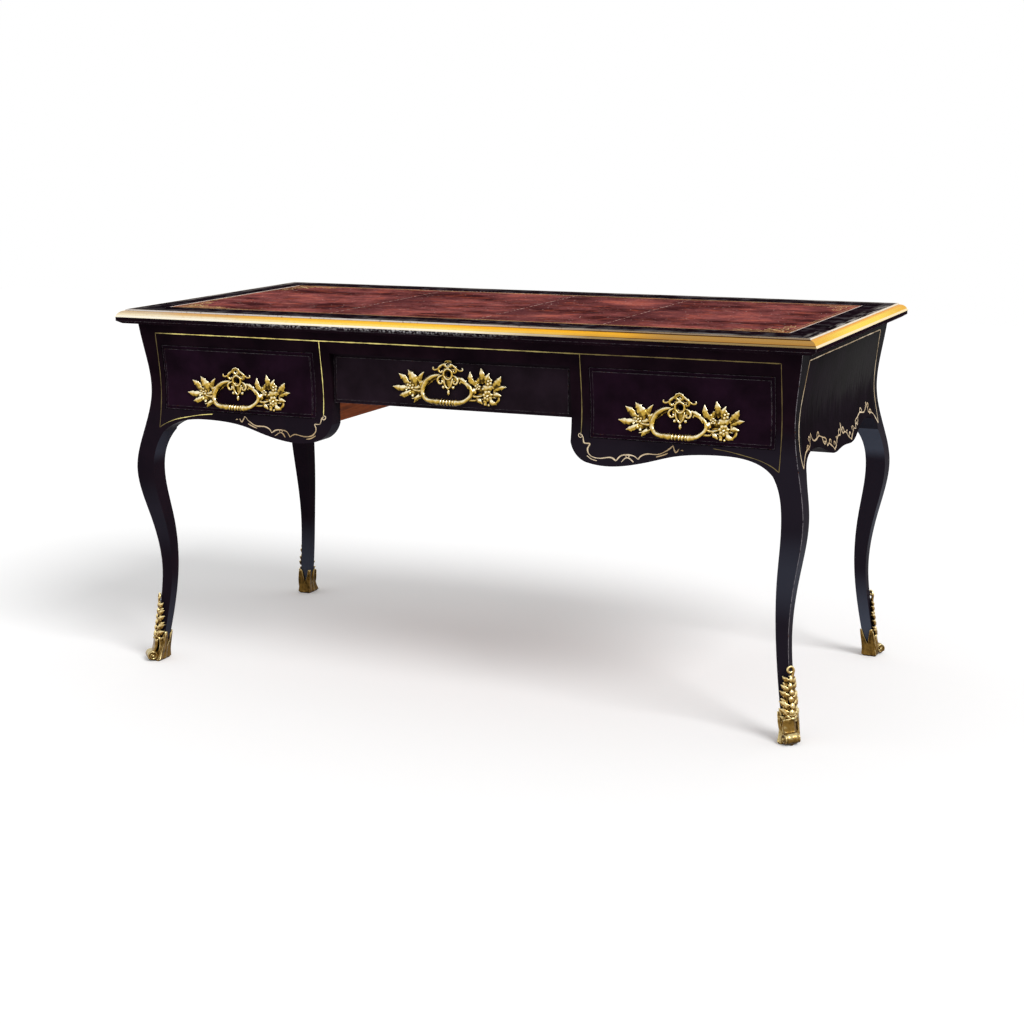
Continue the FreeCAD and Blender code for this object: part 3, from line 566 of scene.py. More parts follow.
for name, piece in nodes.items():
    dress(piece, next(finish for pattern, finish in finishes if re.match(pattern, name)))
print("materials: set on", len(nodes), "solids")


# shapes that the mounts share, all in mm
def smoothPath(points, step):                       # a curve through the points, sampled about every step
    pts = np.array(points, float)
    runs = []
    for i in range(len(pts) - 1):
        a, b, c, d = pts[max(i - 1, 0)], pts[i], pts[i + 1], pts[min(i + 2, len(pts) - 1)]
        count = max(2, int(np.linalg.norm(c - b) / step))
        t = np.linspace(0, 1, count, endpoint=False)[:, None]
        square, cube = 2 * a - 5 * b + 4 * c - d, 3 * b - a - 3 * c + d
        runs.append(0.5 * (2 * b + (c - a) * t + square * t ** 2 + cube * t ** 3))
    runs.append(pts[-1:])
    return np.vstack(runs)


def headings(path):                                 # the way ahead at each point of a path
    ahead = np.gradient(path, axis=0)
    return ahead / np.maximum(np.linalg.norm(ahead, axis=1), 1e-6)[:, None]


def addShell(cast, rings, loop=False):              # closed skin through rings of points
    verts, faces = cast
    start, (count, around) = len(verts), rings.shape[:2]
    verts.extend(rings.reshape(-1, 3).tolist())
    for i in range(count if loop else count - 1):
        here, there = start + i * around, start + (i + 1) % count * around
        for j in range(around):
            k = (j + 1) % around
            faces.append((here + j, here + k, there + k, there + j))
    if not loop:
        faces.append(tuple(start + j for j in reversed(range(around))))
        faces.append(tuple(start + (count - 1) * around + j for j in range(around)))


def addTube(cast, path, radii, step=1.2, sides=12):
    line = smoothPath(path, step)
    girth = np.interp(np.linspace(0, 1, len(line)), np.linspace(0, 1, len(radii)), radii)
    ahead = headings(line)
    side = np.cross(ahead[0], (0.31, 0.17, 0.93))   # any way that is not along the tube
    turn = np.linspace(0, 2 * math.pi, sides, endpoint=False)
    rings = []
    for spot, way, radius in zip(line, ahead, girth):
        side = side - way * np.dot(side, way)
        side /= np.linalg.norm(side)
        over = np.cross(way, side)
        rings.append(spot + radius * (np.cos(turn)[:, None] * side + np.sin(turn)[:, None] * over))
    addShell(cast, np.array(rings))


def addBead(cast, centre, size, sides=14, levels=9):
    turn = np.linspace(0, 2 * math.pi, sides, endpoint=False)
    rings = []
    for tilt in np.linspace(0.06, math.pi - 0.06, levels):
        wide = math.sin(tilt)
        ring = np.stack([wide * np.cos(turn), wide * np.sin(turn), np.full(sides, -math.cos(tilt))], 1)
        rings.append(np.array(centre) + ring * np.array(size))
    addShell(cast, np.array(rings))


# base and tip are (across, up, out); the leaf is swollen, lobed at its rim and ribbed down the middle
def addLeaf(cast, base, tip, width, bend=0.0, lift=2.0, curl=0.0, lobes=3, thick=2.0, saw=0.28):
    base, tip = np.array(base, float), np.array(tip, float)
    reach = tip[:2] - base[:2]
    length = np.linalg.norm(reach)
    along = reach / length
    side = np.array([-along[1], along[0]])
    u, v = np.linspace(0, 1, 26), np.linspace(-1, 1, 9)
    bow = bend * length * np.sin(math.pi * u)
    half = width / 2 * (0.2 + 0.8 * np.sin(math.pi * np.clip(u, 0, 1) ** 0.92) ** 0.7) * (1 - u ** 9)
    half *= 1 - saw * ((lobes * u + 0.25) % 1.0)
    half = np.maximum(half, 0.4)
    height = base[2] * (1 - u) + tip[2] * u + lift * np.sin(math.pi * u) + curl * u ** 3
    rings = []
    for i in range(len(u)):
        spot = base[:2] + along * length * u[i] + side * bow[i]
        cup = height[i] + half[i] * (0.12 - 0.4 * v ** 2) + 0.8 * np.exp(-(v / 0.22) ** 2) * (1 - u[i])
        top = np.column_stack([spot + side * (half[i] * v)[:, None], cup])
        under = np.column_stack([spot + side * (half[i] * 0.8 * v)[:, None], cup - thick])[::-1]
        rings.append(np.vstack([top, under])[::-1])
    addShell(cast, np.array(rings))


def addFlower(cast, centre, radius, petals, rise):
    x, z, out = centre
    for i in range(petals):
        turn = 2 * math.pi * i / petals + 0.3
        side, up = radius * math.cos(turn), radius * math.sin(turn)
        addLeaf(cast, (x + 0.15 * side, z + 0.15 * up, out), (x + side, z + up, out + rise), radius * 0.85,
                lift=1.5, lobes=1, saw=0.1)
    addBead(cast, (x, z, out + 2.5), (radius * 0.26, radius * 0.26, 2.6))


def looseMesh(name, cast, sharp=None):              # a mesh of shapes given in mm
    mesh = bpy.data.meshes.new(name)
    mesh.from_pydata((np.array(cast[0]) * mm).tolist(), [], cast[1])
    mesh.update()
    mesh.shade_smooth()
    if sharp:
        mesh.set_sharp_from_angle(angle=math.radians(sharp))
    return mesh


def castMesh(name, cast, voxel, keep):              # melts shapes into one casting: fill, soften, thin out
    raw = looseMesh(name + "Raw", cast)
    mould = addObject(name + "Raw", raw)
    fill = mould.modifiers.new("fill", "REMESH")
    fill.mode, fill.voxel_size = "VOXEL", voxel * mm
    soften = mould.modifiers.new("soften", "SMOOTH")
    soften.factor, soften.iterations = 0.5, 2
    thin = mould.modifiers.new("thin", "DECIMATE")
    thin.ratio = keep
    bpy.context.view_layer.update()
    mesh = bpy.data.meshes.new_from_object(mould.evaluated_get(bpy.context.evaluated_depsgraph_get()))
    mesh.name = name
    bpy.data.objects.remove(mould, do_unlink=True)
    bpy.data.meshes.remove(raw)
    mesh.shade_smooth()
    return mesh


def points(mesh):
    flat = np.zeros(len(mesh.vertices) * 3, np.float32)
    mesh.vertices.foreach_get("co", flat)
    return flat.reshape(-1, 3).astype(float)


def setPoints(mesh, spots):
    mesh.vertices.foreach_set("co", np.asarray(spots, np.float32).ravel())
    mesh.update()


def place(name, mesh, material, body, slot, *stands):
    piece = addObject(name, mesh)
    dress(piece, material)
    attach(piece, body)
    if stands:
        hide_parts(*stands)
    return piece


def meshTree(*names):                               # one search tree over several solids
    verts, faces = [], []
    for name in names:
        mesh = nodes[name].data
        start = len(verts)
        verts.extend(v.co.copy() for v in mesh.vertices)
        faces.extend([tuple(start + i for i in p.vertices) for p in mesh.polygons])
    return BVHTree.FromPolygons(verts, faces)


edging = {
    "halfX": 770.0, "halfY": 368.0, "step": 12.0, "seed": 7, "sharp": 50.0,
    "dents": (0.2, 0.14), "soften": 7, "rubbedAndLit": (0.5, 15.0), "foot": 766.0,
    # inwards from the outer face, and height: fillet, sunk line, round, foot bead
    "section": ((20.0, 764.0), (20.0, 779.6), (19.6, 780.0), (18.4, 780.0), (17.8, 779.7), (17.5, 779.0),
                (17.5, 778.1), (17.3, 777.6), (16.7, 777.1), (15.9, 776.95), (15.0, 776.9), (13.4, 776.6),
                (11.2, 775.9), (9.0, 774.8), (7.0, 773.3), (5.2, 771.5), (3.8, 769.4), (2.8, 767.2), (2.4, 766.2),
                (2.2, 765.7), (1.4, 765.4), (0.7, 765.1), (0.2, 764.7), (0.0, 764.3), (0.4, 764.0), (2.0, 764.0)),
}


def makeEdging():
    chance = np.random.default_rng(edging["seed"])
    inward, height = np.array(edging["section"]).T
    rubbedAndLit = (inward > edging["rubbedAndLit"][0]) & (inward < edging["rubbedAndLit"][1])
    wide, deep, even = edging["halfX"], edging["halfY"], np.ones(edging["soften"]) / edging["soften"]
    runs = (("front", wide, deep, 0), ("right", deep, wide, 90), ("back", wide, deep, 180), ("left", deep, wide, 270))
    for name, halfLong, halfOut, turn in runs:
        count = int(2 * halfLong / edging["step"])
        dents = []
        for most in edging["dents"]:                # pushed in, then pressed down
            loose = chance.normal(0, 1, count + edging["soften"])
            dents.append(np.abs(np.convolve(loose, even, "valid") * most))
            dents[-1][[0, -1]] = 0
        rings = []
        for i, (push, press) in enumerate(zip(*dents)):
            long = (i / count * 2 - 1) * (halfLong - inward)
            out = halfOut - inward - push * rubbedAndLit
            up = height - press * (rubbedAndLit & (height > edging["foot"]))
            rings.append(np.column_stack([long, -out, up]))
        cast = ([], [])
        addShell(cast, np.array(rings)[:, ::-1])
        mesh = looseMesh("edging_" + name, cast, edging["sharp"])
        mesh.transform(Matrix.Rotation(math.radians(turn), 4, "Z"))
        place("edging_" + name, mesh, edgeGilt, "carcass", "gilt_bronze", "edge_moulding_" + name)
    print("edging: four lengths")


makeEdging()


skins = {
    "edges": (-693.0, -300.0, 38.0, 309.0, 693.0), "halfY": 274.0, "low": 778.0, "top": 779.5, "step": 5.0,
    "swell": 0.28, "waves": 9, "seed": 11, "calm": 12.0, "roll": 3.0, "rollDrop": 0.55, "rollSteps": (0.6, 1.4, 2.4),
    "sharp": 60.0,
}


def skinTop(x, y):                                  # the pasted skins lie slightly wavy
    chance = np.random.default_rng(skins["seed"])
    bumps = 0.0
    for _ in range(skins["waves"]):
        pitch, turn, phase = chance.uniform(0.004, 0.03), chance.uniform(0, 6.28), chance.uniform(0, 6.28)
        bumps = bumps + np.sin(pitch * (x * math.cos(turn) + y * math.sin(turn)) + phase) / skins["waves"]
    rim = np.minimum(skins["edges"][-1] - np.abs(x), skins["halfY"] - np.abs(y))
    return skins["top"] + bumps * skins["swell"] * np.clip(rim / skins["calm"], 0, 1)


def makeSkins():
    farY, step, rolled = skins["halfY"], skins["step"], np.array(skins["rollSteps"])
    for i, (x0, x1) in enumerate(zip(skins["edges"], skins["edges"][1:]), 1):
        xs = np.unique(np.concatenate([np.linspace(x0, x1, int((x1 - x0) / step)), x0 + rolled, x1 - rolled]))
        ys = np.linspace(-farY, farY, int(2 * farY / step))
        gx, gy = np.meshgrid(xs, ys, indexing="ij")
        away = np.minimum(gx - x0, x1 - gx)
        gz = skinTop(gx, gy) - np.clip(1 - away / skins["roll"], 0, 1) ** 2 * skins["rollDrop"]
        verts = np.vstack([np.stack([gx, gy, z], -1).reshape(-1, 3) for z in (gz, np.full_like(gx, skins["low"]))])
        size, index = gx.size, np.arange(gx.size).reshape(gx.shape)
        quads = np.stack([index[:-1, :-1], index[1:, :-1], index[1:, 1:], index[:-1, 1:]], -1).reshape(-1, 4)
        faces = quads.tolist() + (quads[:, ::-1] + size).tolist()
        rim = np.concatenate([index[:, 0], index[-1, 1:], index[-2::-1, -1], index[0, -2:0:-1]]).tolist()
        faces += [(b, a, a + size, b + size) for a, b in zip(rim, rim[1:] + rim[:1])]
        mesh = looseMesh("leatherSkin_%d" % i, (verts, faces), skins["sharp"])
        place("leatherSkin_%d" % i, mesh, leather, "carcass", "tooled_leather", "leather_skin_%d" % i)
    print("leather: four skins")


makeSkins()


tooling = {
    "seam": (1.0, 1.5, 2.0), "edge": 3.2, "edgeInset": 1.4, "borders": ((5.0, 1.7), (12.0, 0.9)), "spray": 2.3,
    "rise": 0.25, "brim": 0.06, "sink": 0.5, "step": 3.0, "highest": 779.97,
    # one corner, measured in from the leather's two edges
    "corner": (((18, 18), (38, 26), (60, 21), (82, 28), (102, 21), (122, 25)),
               ((28, 34), (43, 46), (60, 42), (59, 31), (50, 33)), ((20, 20), (33, 33), (47, 47), (60, 62)),
               ((84, 28), (92, 39), (105, 39), (107, 30), (100, 30)), ((62, 21), (70, 33), (78, 36)),
               ((106, 22), (114, 32), (122, 33))),
}


def layLine(cast, line, width, jitter):             # a thin strip pressed on the leather
    path = smoothPath(line, tooling["step"])
    rise, brim, sink = tooling["rise"], tooling["brim"], tooling["sink"]
    shape = ((-1, -sink), (-1, brim), (-0.4, rise), (0.4, rise), (1, brim), (1, -sink))
    rings = []
    for i, (spot, way) in enumerate(zip(path, headings(path))):
        half = width / 2 * (0.85 + 0.3 * math.sin(0.37 * i + jitter) * math.sin(0.11 * i + 2 * jitter))
        level = float(skinTop(*spot))
        side = np.array([-way[1], way[0]])
        rings.append([(*(spot + side * half * t), min(level + h, tooling["highest"])) for t, h in shape])
    addShell(cast, np.array(rings))


def makeTooling():
    farX, farY = skins["edges"][-1], skins["halfY"]
    seam, gold = ([], []), ([], [])
    for k, (x, width) in enumerate(zip(skins["edges"][1:-1], tooling["seam"])):
        layLine(seam, [(x, -farY + 1), (x + 0.4, -90), (x - 0.3, 80), (x, farY - 1)], width, k)
    for way in (-1, 1):                             # cut edges at the two ends
        x = way * (farX - tooling["edgeInset"])
        layLine(seam, [(x, -farY + 1), (x, 0), (x, farY - 1)], tooling["edge"], way)
    for inset, width in tooling["borders"]:
        x, y = farX - inset, farY - inset
        for way in (-1, 1):
            layLine(gold, [(-x, way * y), (0, way * y), (x, way * y)], width, way)
            layLine(gold, [(way * x, -y), (way * x, 0), (way * x, y)], width, 2 + way)
    for sx, sy in ((-1, -1), (-1, 1), (1, -1), (1, 1)):
        for k, line in enumerate(tooling["corner"]):
            layLine(gold, [(sx * (farX - u), sy * (farY - v)) for u, v in line], tooling["spray"], k)
            layLine(gold, [(sx * (farX - v), sy * (farY - u)) for u, v in line], tooling["spray"], k + 1)
    for name, cast, material in (("leatherSeams", seam, seamHide), ("leatherTooling", gold, toolGold)):
        place(name, looseMesh(name, cast), material, "carcass", "tooled_leather")
    print("tooling: seams, lines and corners")


makeTooling()


# painted gold lines, drawn for one half of a face: along it, and height
frontRight = {
    "top": [(0, 729), (120, 729.4), (290, 729), (480, 729.3), (693, 729)],
    "outer": [(693, 729), (693, 660), (693, 590), (692.8, 524)],
    "inner": [(290, 729), (290, 650), (289.4, 572)],
    "ring": [(289.5, 572), (284.4, 570), (284.8, 565.4), (289, 563.6), (292.4, 566.4), (290.4, 569.4), (287.8, 568)],
    "scroll": [(291, 568.6), (293.8, 565), (296.1, 554.9), (302, 553.2), (309.2, 552.7), (305.1, 543.7), (307.5, 535),
               (316.2, 528.3), (332.4, 526.5), (354.5, 529.4), (366.2, 523.5)],
    "arch": [(366.2, 523.5), (374.8, 533.6), (387.2, 536.5), (401.6, 535.4), (411.6, 529.4)],
    "rise": [(411.6, 529.4), (417.2, 536.4), (429.4, 541), (451.2, 541.6), (466.2, 548.3), (475, 554.7),
             (480.2, 559.9)],
    "hook": [(480.2, 559.9), (486.5, 547.6), (493, 554.4)],
    "drop": [(497, 551.6), (499.4, 552.6), (501.4, 551)],
    "leaf": [(304.8, 529.9), (315, 523.8), (326.5, 521.4)],
    "cup": [(377.5, 521.9), (384.7, 529.9), (392.5, 530.5), (402.7, 523.6)],
    "strutA": [(386, 535.4), (386.8, 530.2)],
    "strutB": [(392.4, 536), (391.8, 530.4)],
    "blade": [(447.9, 536.5), (459.2, 540.1), (471.2, 544.9)],
    "tail": [(560.5, 559.6), (591.4, 556), (622, 550.4), (652.4, 543.6), (677.1, 534), (692.8, 524)],
}

sideFront = {
    "top": [(-276, 730), (-150, 730.4), (0, 730)],
    "stile": [(-276, 730), (-281, 687), (-287, 644), (-290, 614), (-293.5, 585), (-296, 560), (-295.4, 541),
              (-292, 527)],
    "foot": [(-292, 527), (-277.7, 540.4), (-259.2, 552.9), (-228, 560.3), (-224.5, 568.7), (-215, 583.2)],
    "wave": [(-215, 583.2), (-208.4, 572.2), (-194.8, 565.2), (-176, 566.1), (-160, 569), (-147, 566),
             (-132.4, 561.7), (-120.9, 559.5), (-113.3, 554.3), (-119.7, 551.3), (-129, 554)],
    "drop": [(-113.3, 554.3), (-110.9, 542.8), (-97.8, 544.8), (-77.3, 535.4), (-66, 528.4)],
    "climb": [(-66, 528.4), (-51.3, 533.3), (-40, 543), (-41, 549.6), (-46, 548)],
    "spike": [(-38.5, 543.5), (-28, 548.6), (-17, 548.6), (-11, 548), (-4, 556), (0, 571)],
    "bead": [(-68, 526.8), (-65.4, 528), (-63, 527)],
    "curlA": [(-252, 555), (-246, 562), (-238, 563), (-235, 557), (-240, 553.6)],
    "curlB": [(-220, 572), (-228, 579), (-233, 574), (-229, 569.4)],
    "curlC": [(-176, 566), (-171, 575), (-162, 577), (-159, 571), (-164, 569)],
    "curlD": [(-140, 564), (-134, 553), (-126, 548), (-120, 552)],
    "curlE": [(-97, 545), (-90, 551), (-82, 549), (-83, 543)],
    "curlF": [(-51, 533), (-56, 541), (-63, 542), (-66, 536)],
    "curlG": [(-22, 548.6), (-19, 557), (-12, 560), (-8, 555)],
}

strokes = {
    "ruled": 1.6, "top": 2.4, "y": 2.6, "x": 3.1, "straight": ("top", "outer", "inner", "tail"),
    "crown": 0.28, "shoulder": 0.224, "brim": 0.08, "sink": 0.5, "step": 2.0, "taper": 3,
    "from": {"y": 900.0, "x": 1200.0},
    # faces: the way they look, their drawing, the solids they are made of
    "faces": {
        "front": ("y", -1, frontRight, ("front_top_rail", "front_stile_left", "front_stile_right", "front_apron_left",
                                        "front_apron_right", "leg_front_left", "leg_front_right")),
        "back": ("y", 1, frontRight, ("back_panel", "leg_back_left", "leg_back_right")),
        "right": ("x", 1, sideFront, ("side_panel_right", "leg_front_right", "leg_back_right")),
        "left": ("x", -1, sideFront, ("side_panel_left", "leg_front_left", "leg_back_left")),
    },
}


def strokeOn(cast, tree, axis, way, line, width, jitter):     # a brush stroke laid on the face behind the line
    path = smoothPath(line, strokes["step"])
    spread = np.array(((1.0, 0, 0) if axis == "y" else (0, 1.0, 0), (0, 0, 1.0)))
    out = np.array((0, way, 0) if axis == "y" else (way, 0, 0), float)
    crown, shoulder, brim, sink = (strokes[level] for level in ("crown", "shoulder", "brim", "sink"))
    shape = ((-1, -sink), (-1, brim), (-0.5, shoulder), (0, crown), (0.5, shoulder), (1, brim), (1, -sink))
    rings = []
    for i, (spot, ahead) in enumerate(zip(path, headings(path))):
        start = Vector(spot @ spread + out * strokes["from"][axis])
        hit, normal, _, _ = tree.ray_cast(start * mm, Vector(-out))
        if hit is None:
            continue
        half = width / 2 * (0.86 + 0.22 * math.sin(0.19 * i + jitter) + 0.1 * math.sin(0.61 * i + 2 * jitter))
        half *= 0.55 + 0.45 * min(1, min(i, len(path) - 1 - i) / strokes["taper"])
        across = np.array((-ahead[1], ahead[0])) @ spread
        across -= np.array(normal) * np.dot(across, np.array(normal))
        across /= np.linalg.norm(across)
        rings.append([np.array(hit) / mm + across * half * s + out * h for s, h in shape])
    if len(rings) > 2:
        addShell(cast, np.array(rings))


def makeStrokes():
    for name, (axis, way, lines, solids) in strokes["faces"].items():
        tree = meshTree(*solids)
        ruled, free = ([], []), ([], [])
        for mirror in (1, -1):
            for k, (part, line) in enumerate(lines.items()):
                straight = part in strokes["straight"]
                width = strokes["top" if part == "top" else "ruled" if straight else axis]
                half = [(mirror * a, b) for a, b in line]
                strokeOn(ruled if straight else free, tree, axis, way, half, width, k + mirror)
        ruledGold = paintGold if axis == "y" else paleGold
        for kind, cast, gold in (("goldLines_", ruled, ruledGold), ("goldScrolls_", free, paleGold)):
            place(kind + name, looseMesh(kind + name, cast), gold, "carcass", "gilt_bronze")
    print("gold lines: front, back and both sides")


makeStrokes()


# pulls: points are (across, up, out) from the keyhole
pull = {
    "voxel": 0.66, "keep": 0.3, "under": 6, "beside": 150.0,
    # handle: across, inwards, up from the keyhole
    "handle": ((-15, 0, -3), (-32, -4, -5), (-45, -7, -14), (-52.5, -9.5, -27), (-53.5, -12, -40),
               (-46, -15.5, -49.5), (-31, -18, -54), (0, -18.5, -55), (30, -18, -54), (44, -15.5, -49),
               (53, -12, -40), (54, -9.5, -31), (50, -8, -22), (38, -5, -14), (18, 0, -8)),
    "girth": (3.0, 4.8, 5.8, 5.2, 4.4, 5.2, 5.6, 4.8, 5.4, 5.0, 4.0, 3.6, 3.6, 3.6, 3.0),
    "shield": ((-2, 25), (5, 20), (9, 14), (19, 13), (17, 6), (14, 0), (18, -6), (22, -12), (17, -19), (11, -21),
               (7, -26), (3, -33), (0, -40), (-4, -33), (-8, -26), (-12, -21), (-18, -19), (-22, -12), (-17, -6),
               (-15, 0), (-17, 7), (-14, 13), (-8, 19)),
    "posts": ((-56.0, -31.0), (56.0, -31.0)),
    "shank": 2.5,
    # leaves: root, tip, width, sideways bend, lobes
    "leaves": ((-62, -31, -101, -27, 20, 0.06, 4), (-60, -38, -96, -45, 15, -0.06, 4),
               (60, -30, 103, -18, 20, -0.06, 4), (60, -40, 106, -43, 16, 0.05, 4), (58, -24, 80, -2, 15, 0.1, 3),
               (-60, -26, -78, -6, 14, -0.1, 3), (-88, -31.5, -127.5, -30.5, 15, 0.06, 3),
               (-90, -27, -110.5, -2.5, 16, -0.1, 3), (-72, -27, -90, 6, 20, -0.08, 4),
               (-66, -24, -53.5, 3, 11, 0.12, 2), (-58, -38, -48, -11, 12, 0.18, 3),
               (-84, -37, -109, -48, 13, 0.1, 3), (-56, -46, -79, -62, 12, -0.14, 3),
               (-82, -24, -101, -9, 10, 0.1, 2), (62, -22, 50, 10, 14, 0.12, 3), (70, -32, 61, -9, 13, 0.05, 3),
               (76, -16, 73, 17, 15, -0.05, 3), (99, -22, 119, 2.5, 16, -0.08, 4),
               (99, -31, 127.5, -19.5, 13, 0.1, 3), (98, -37, 119, -37, 12, 0.06, 2),
               (92, -44, 108, -56, 12, -0.1, 3), (76, -44, 85, -59, 10, 0.05, 2), (84, -18, 92, 8, 12, 0.08, 2),
               (62, -45, 78, -56, 10, 0.1, 2), (-19, -4, -47, -25, 11, -0.12, 3), (19, -5, 47, -25, 11, 0.12, 3)),
    "bar": (-55.0, 18.5), "knurls": (-2.5, 4.5, 11.5), "waist": 4.5, "shieldSize": 0.84,
    "keyRim": 9.4, "keyTall": 1.12, "rimOut": 5.0, "rimGirth": 2.3, "keyHole": 6.5,
    # the plate from the keyhole to its edge: share of the way, out
    "plate": ((0.0, -3.0), (0.0, 3.0), (0.4, 2.4), (0.8, 2.2), (1.0, 0.8), (1.0, -3.0)),
    # scrolls of one side: path, girth
    "scrolls": (
        (((5, 15, 4), (11, 18.5, 5), (18, 14.5, 5.8), (19.5, 7, 5.8), (14.5, 3.5, 5.2), (12.5, 8, 5)),
         (1.8, 2.4, 2.7, 2.5, 2.1, 1.5)),
        (((11, -3, 4), (18, -5, 5), (22.5, -12, 5.8), (18.5, -19, 5.8), (12.5, -17.5, 5.2), (14.5, -12.5, 5)),
         (1.8, 2.4, 2.7, 2.5, 2.1, 1.5)),
        (((9, -9, 4), (8.5, -17, 5), (5, -25, 5), (0, -30, 4.5)), (1.6, 2.2, 2.0, 1.6)),
        (((0, 13, 4), (6, 18, 5), (7.2, 24, 5.6), (2.6, 27, 5.2), (1.4, 22.6, 5)), (1.6, 2.1, 2.1, 1.8, 1.3)),
        (((3, 23, 4.5), (11, 19.5, 5), (19, 12, 5), (27, 8, 4.6), (33, 9.5, 4.6), (32, 14, 4.6)),
         (2.0, 2.4, 2.7, 2.5, 2.1, 1.5)),
    ),
    "sideBead": ((11, -26.5, 3), (3.7, 3.9, 3.6)),
    "beads": (((0, 27.5, 3.6), (2.6, 2.6, 2.8)), ((0, -37, 2.8), (3.2, 6.2, 3.2)), ((0, -29.5, 3.4), (2.7, 2.9, 3))),
    # blossoms: centre, radius, petals, rise
    "blossoms": (((-84, -27, 5.0), 8.5, 5, 2.4), ((90, -9, 4.0), 9.5, 6, 2.0), ((88, -39, 4.5), 11.5, 7, 2.2),
                 ((67, -22, 5.5), 7.0, 5, 2.0)),
    # berries: across, up, radius
    "berries": ((-87, -43, 4.2), (-80, -47, 3.4), (-94, -36, 3.2), (82, -56, 3.2), (90, -57.5, 2.8), (101, -22, 3.2),
                (78, -26, 3.4), (-62, -20, 3.0)),
    "berryOut": 4.5,
    "stems": (
        (((-50, -40, 8), (-60, -47, 5), (-72, -51, 4), (-84, -54, 2)), (2.8, 2.4, 2.0, 1.0)),
        (((-52, -34, 8), (-66, -37, 6), (-80, -35, 4.5), (-96, -31, 3)), (3.0, 2.6, 2.2, 1.6)),
        (((101, -31, 3.5), (110, -37, 4.5), (112, -46, 4.5), (104, -54, 4.5), (94, -55, 4), (92, -50, 4)),
         (1.8, 2.6, 3.0, 2.6, 2.2, 1.5)),
        (((50, -38, 8), (60, -42, 6), (70, -41, 5), (80, -38, 4)), (3.0, 2.6, 2.2, 1.6)),
        (((48, -49, 9), (58, -50, 6), (68, -48, 5), (80, -46, 4)), (2.6, 2.4, 2.0, 1.4)),
        (((48, -27, 8), (44, -20, 8), (38, -16, 7), (30, -14, 6), (27, -18, 6)), (2.0, 2.8, 2.8, 2.6, 1.6)),
    ),
    # kinds: keyhole's place, the solid behind it, the way that looks, length of the shanks
    "kinds": {
        "drawer_right": (494.5, 635.0, "drawer_right_front", -1, 38.0),
        "drawer_center": (0.0, 673.0, "drawer_center_front", -1, 26.0),
        "back_side": (494.5, 635.0, "sham_fronts", 1, 30.0),
        "back_center": (0.0, 673.0, "sham_fronts", 1, 30.0),
    },
    # hung: name, kind, side, body, the solid it stands for
    "hung": (
        ("pull_drawer_left", "drawer_right", -1, "drawer_left", "drawer_left_pull"),
        ("pull_drawer_center", "drawer_center", 1, "drawer_center", "drawer_center_pull"),
        ("pull_drawer_right", "drawer_right", 1, "drawer_right", "drawer_right_pull"),
        ("shamPull_1", "back_side", -1, "carcass", "sham_pulls"),
        ("shamPull_2", "back_center", 1, "carcass"),
        ("shamPull_3", "back_side", 1, "carcass"),
    ),
}


def pullCasting():
    cast = ([], [])
    addTube(cast, [(x, z, -y) for x, y, z in pull["handle"]], pull["girth"])
    (barZ, barOut), waist = pull["bar"], pull["waist"]
    for x in pull["knurls"]:
        addTube(cast, [(x + t, barZ, barOut) for t in (-2.2, 0, 2.2)], (3.4, 6.9, 3.4), step=0.5, sides=20)
    for way in (-1, 1):                             # a swelling and a ring on each side of the knurls
        swelling = [(way * 14 + waist, barZ, barOut), (way * 20 + waist, barZ + 0.3, barOut),
                    (way * 27 + waist, barZ + 0.6, barOut - 0.4), (way * 34, barZ + 2.0, barOut - 1.2)]
        addTube(cast, swelling, (5.0, 6.6, 5.6, 4.6), sides=16)
        ring = [(way * t + waist, barZ, barOut) for t in (12.0, 13.4, 14.8)]
        addTube(cast, ring, (4.4, 7.0, 4.4), step=0.4, sides=20)

    # pierced cartouche: thin plate with the keyhole, then rim, scrolls, crest and drops over it
    outline = np.array(pull["shield"] + pull["shield"][:1], float) * pull["shieldSize"]
    hole, rim = pull["keyHole"], pull["keyRim"]
    rings = []
    for x, z in smoothPath(outline, 1.5)[:-1]:
        far = math.hypot(x, z)
        reach = max(far - hole, 4.0)
        rings.append([((hole + share * reach) * x / far, (hole + share * reach) * z / far, out)
                      for share, out in pull["plate"]])
    addShell(cast, np.array(rings), loop=True)
    circle = [(rim * math.cos(t), rim * pull["keyTall"] * math.sin(t), pull["rimOut"])
              for t in np.linspace(0, 2 * math.pi, 25)]
    addTube(cast, circle, (pull["rimGirth"],) * 2)
    for way in (-1, 1):
        for path, girth in pull["scrolls"]:
            addTube(cast, [(way * x, z, out) for x, z, out in path], girth)
        (x, z, out), size = pull["sideBead"]
        addBead(cast, (way * x, z, out), size)
    for centre, size in pull["beads"]:
        addBead(cast, centre, size)

    # the two sprays: leaves, blossoms, berries and stems
    for k, (x0, z0, x1, z1, width, bend, lobes) in enumerate(pull["leaves"]):
        high = 0.5 if k < pull["under"] else 2.8 + 1.3 * (k % 3)
        addLeaf(cast, (x0, z0, high), (x1, z1, high + 0.8 * (k % 2)), width, bend=bend, lift=2.4 + 1.2 * (k % 3),
                curl=2.2 * (k % 2), lobes=lobes, saw=0.3)
    for blossom in pull["blossoms"]:
        addFlower(cast, *blossom)
    for x, z, radius in pull["berries"]:
        addBead(cast, (x, z, pull["berryOut"]), (radius,) * 3)
    for path, girth in pull["stems"]:
        addTube(cast, path, girth)
    for x, z in pull["posts"]:
        addBead(cast, (x, z, 3), (7.5, 8.5, 7))
        addTube(cast, [(x, z, -3), (x, z, 5), (x * 0.965, z - 1, 10)], (6.5, 6.0, 4.4), sides=14)
    return castMesh("pullCasting", cast, pull["voxel"], pull["keep"])


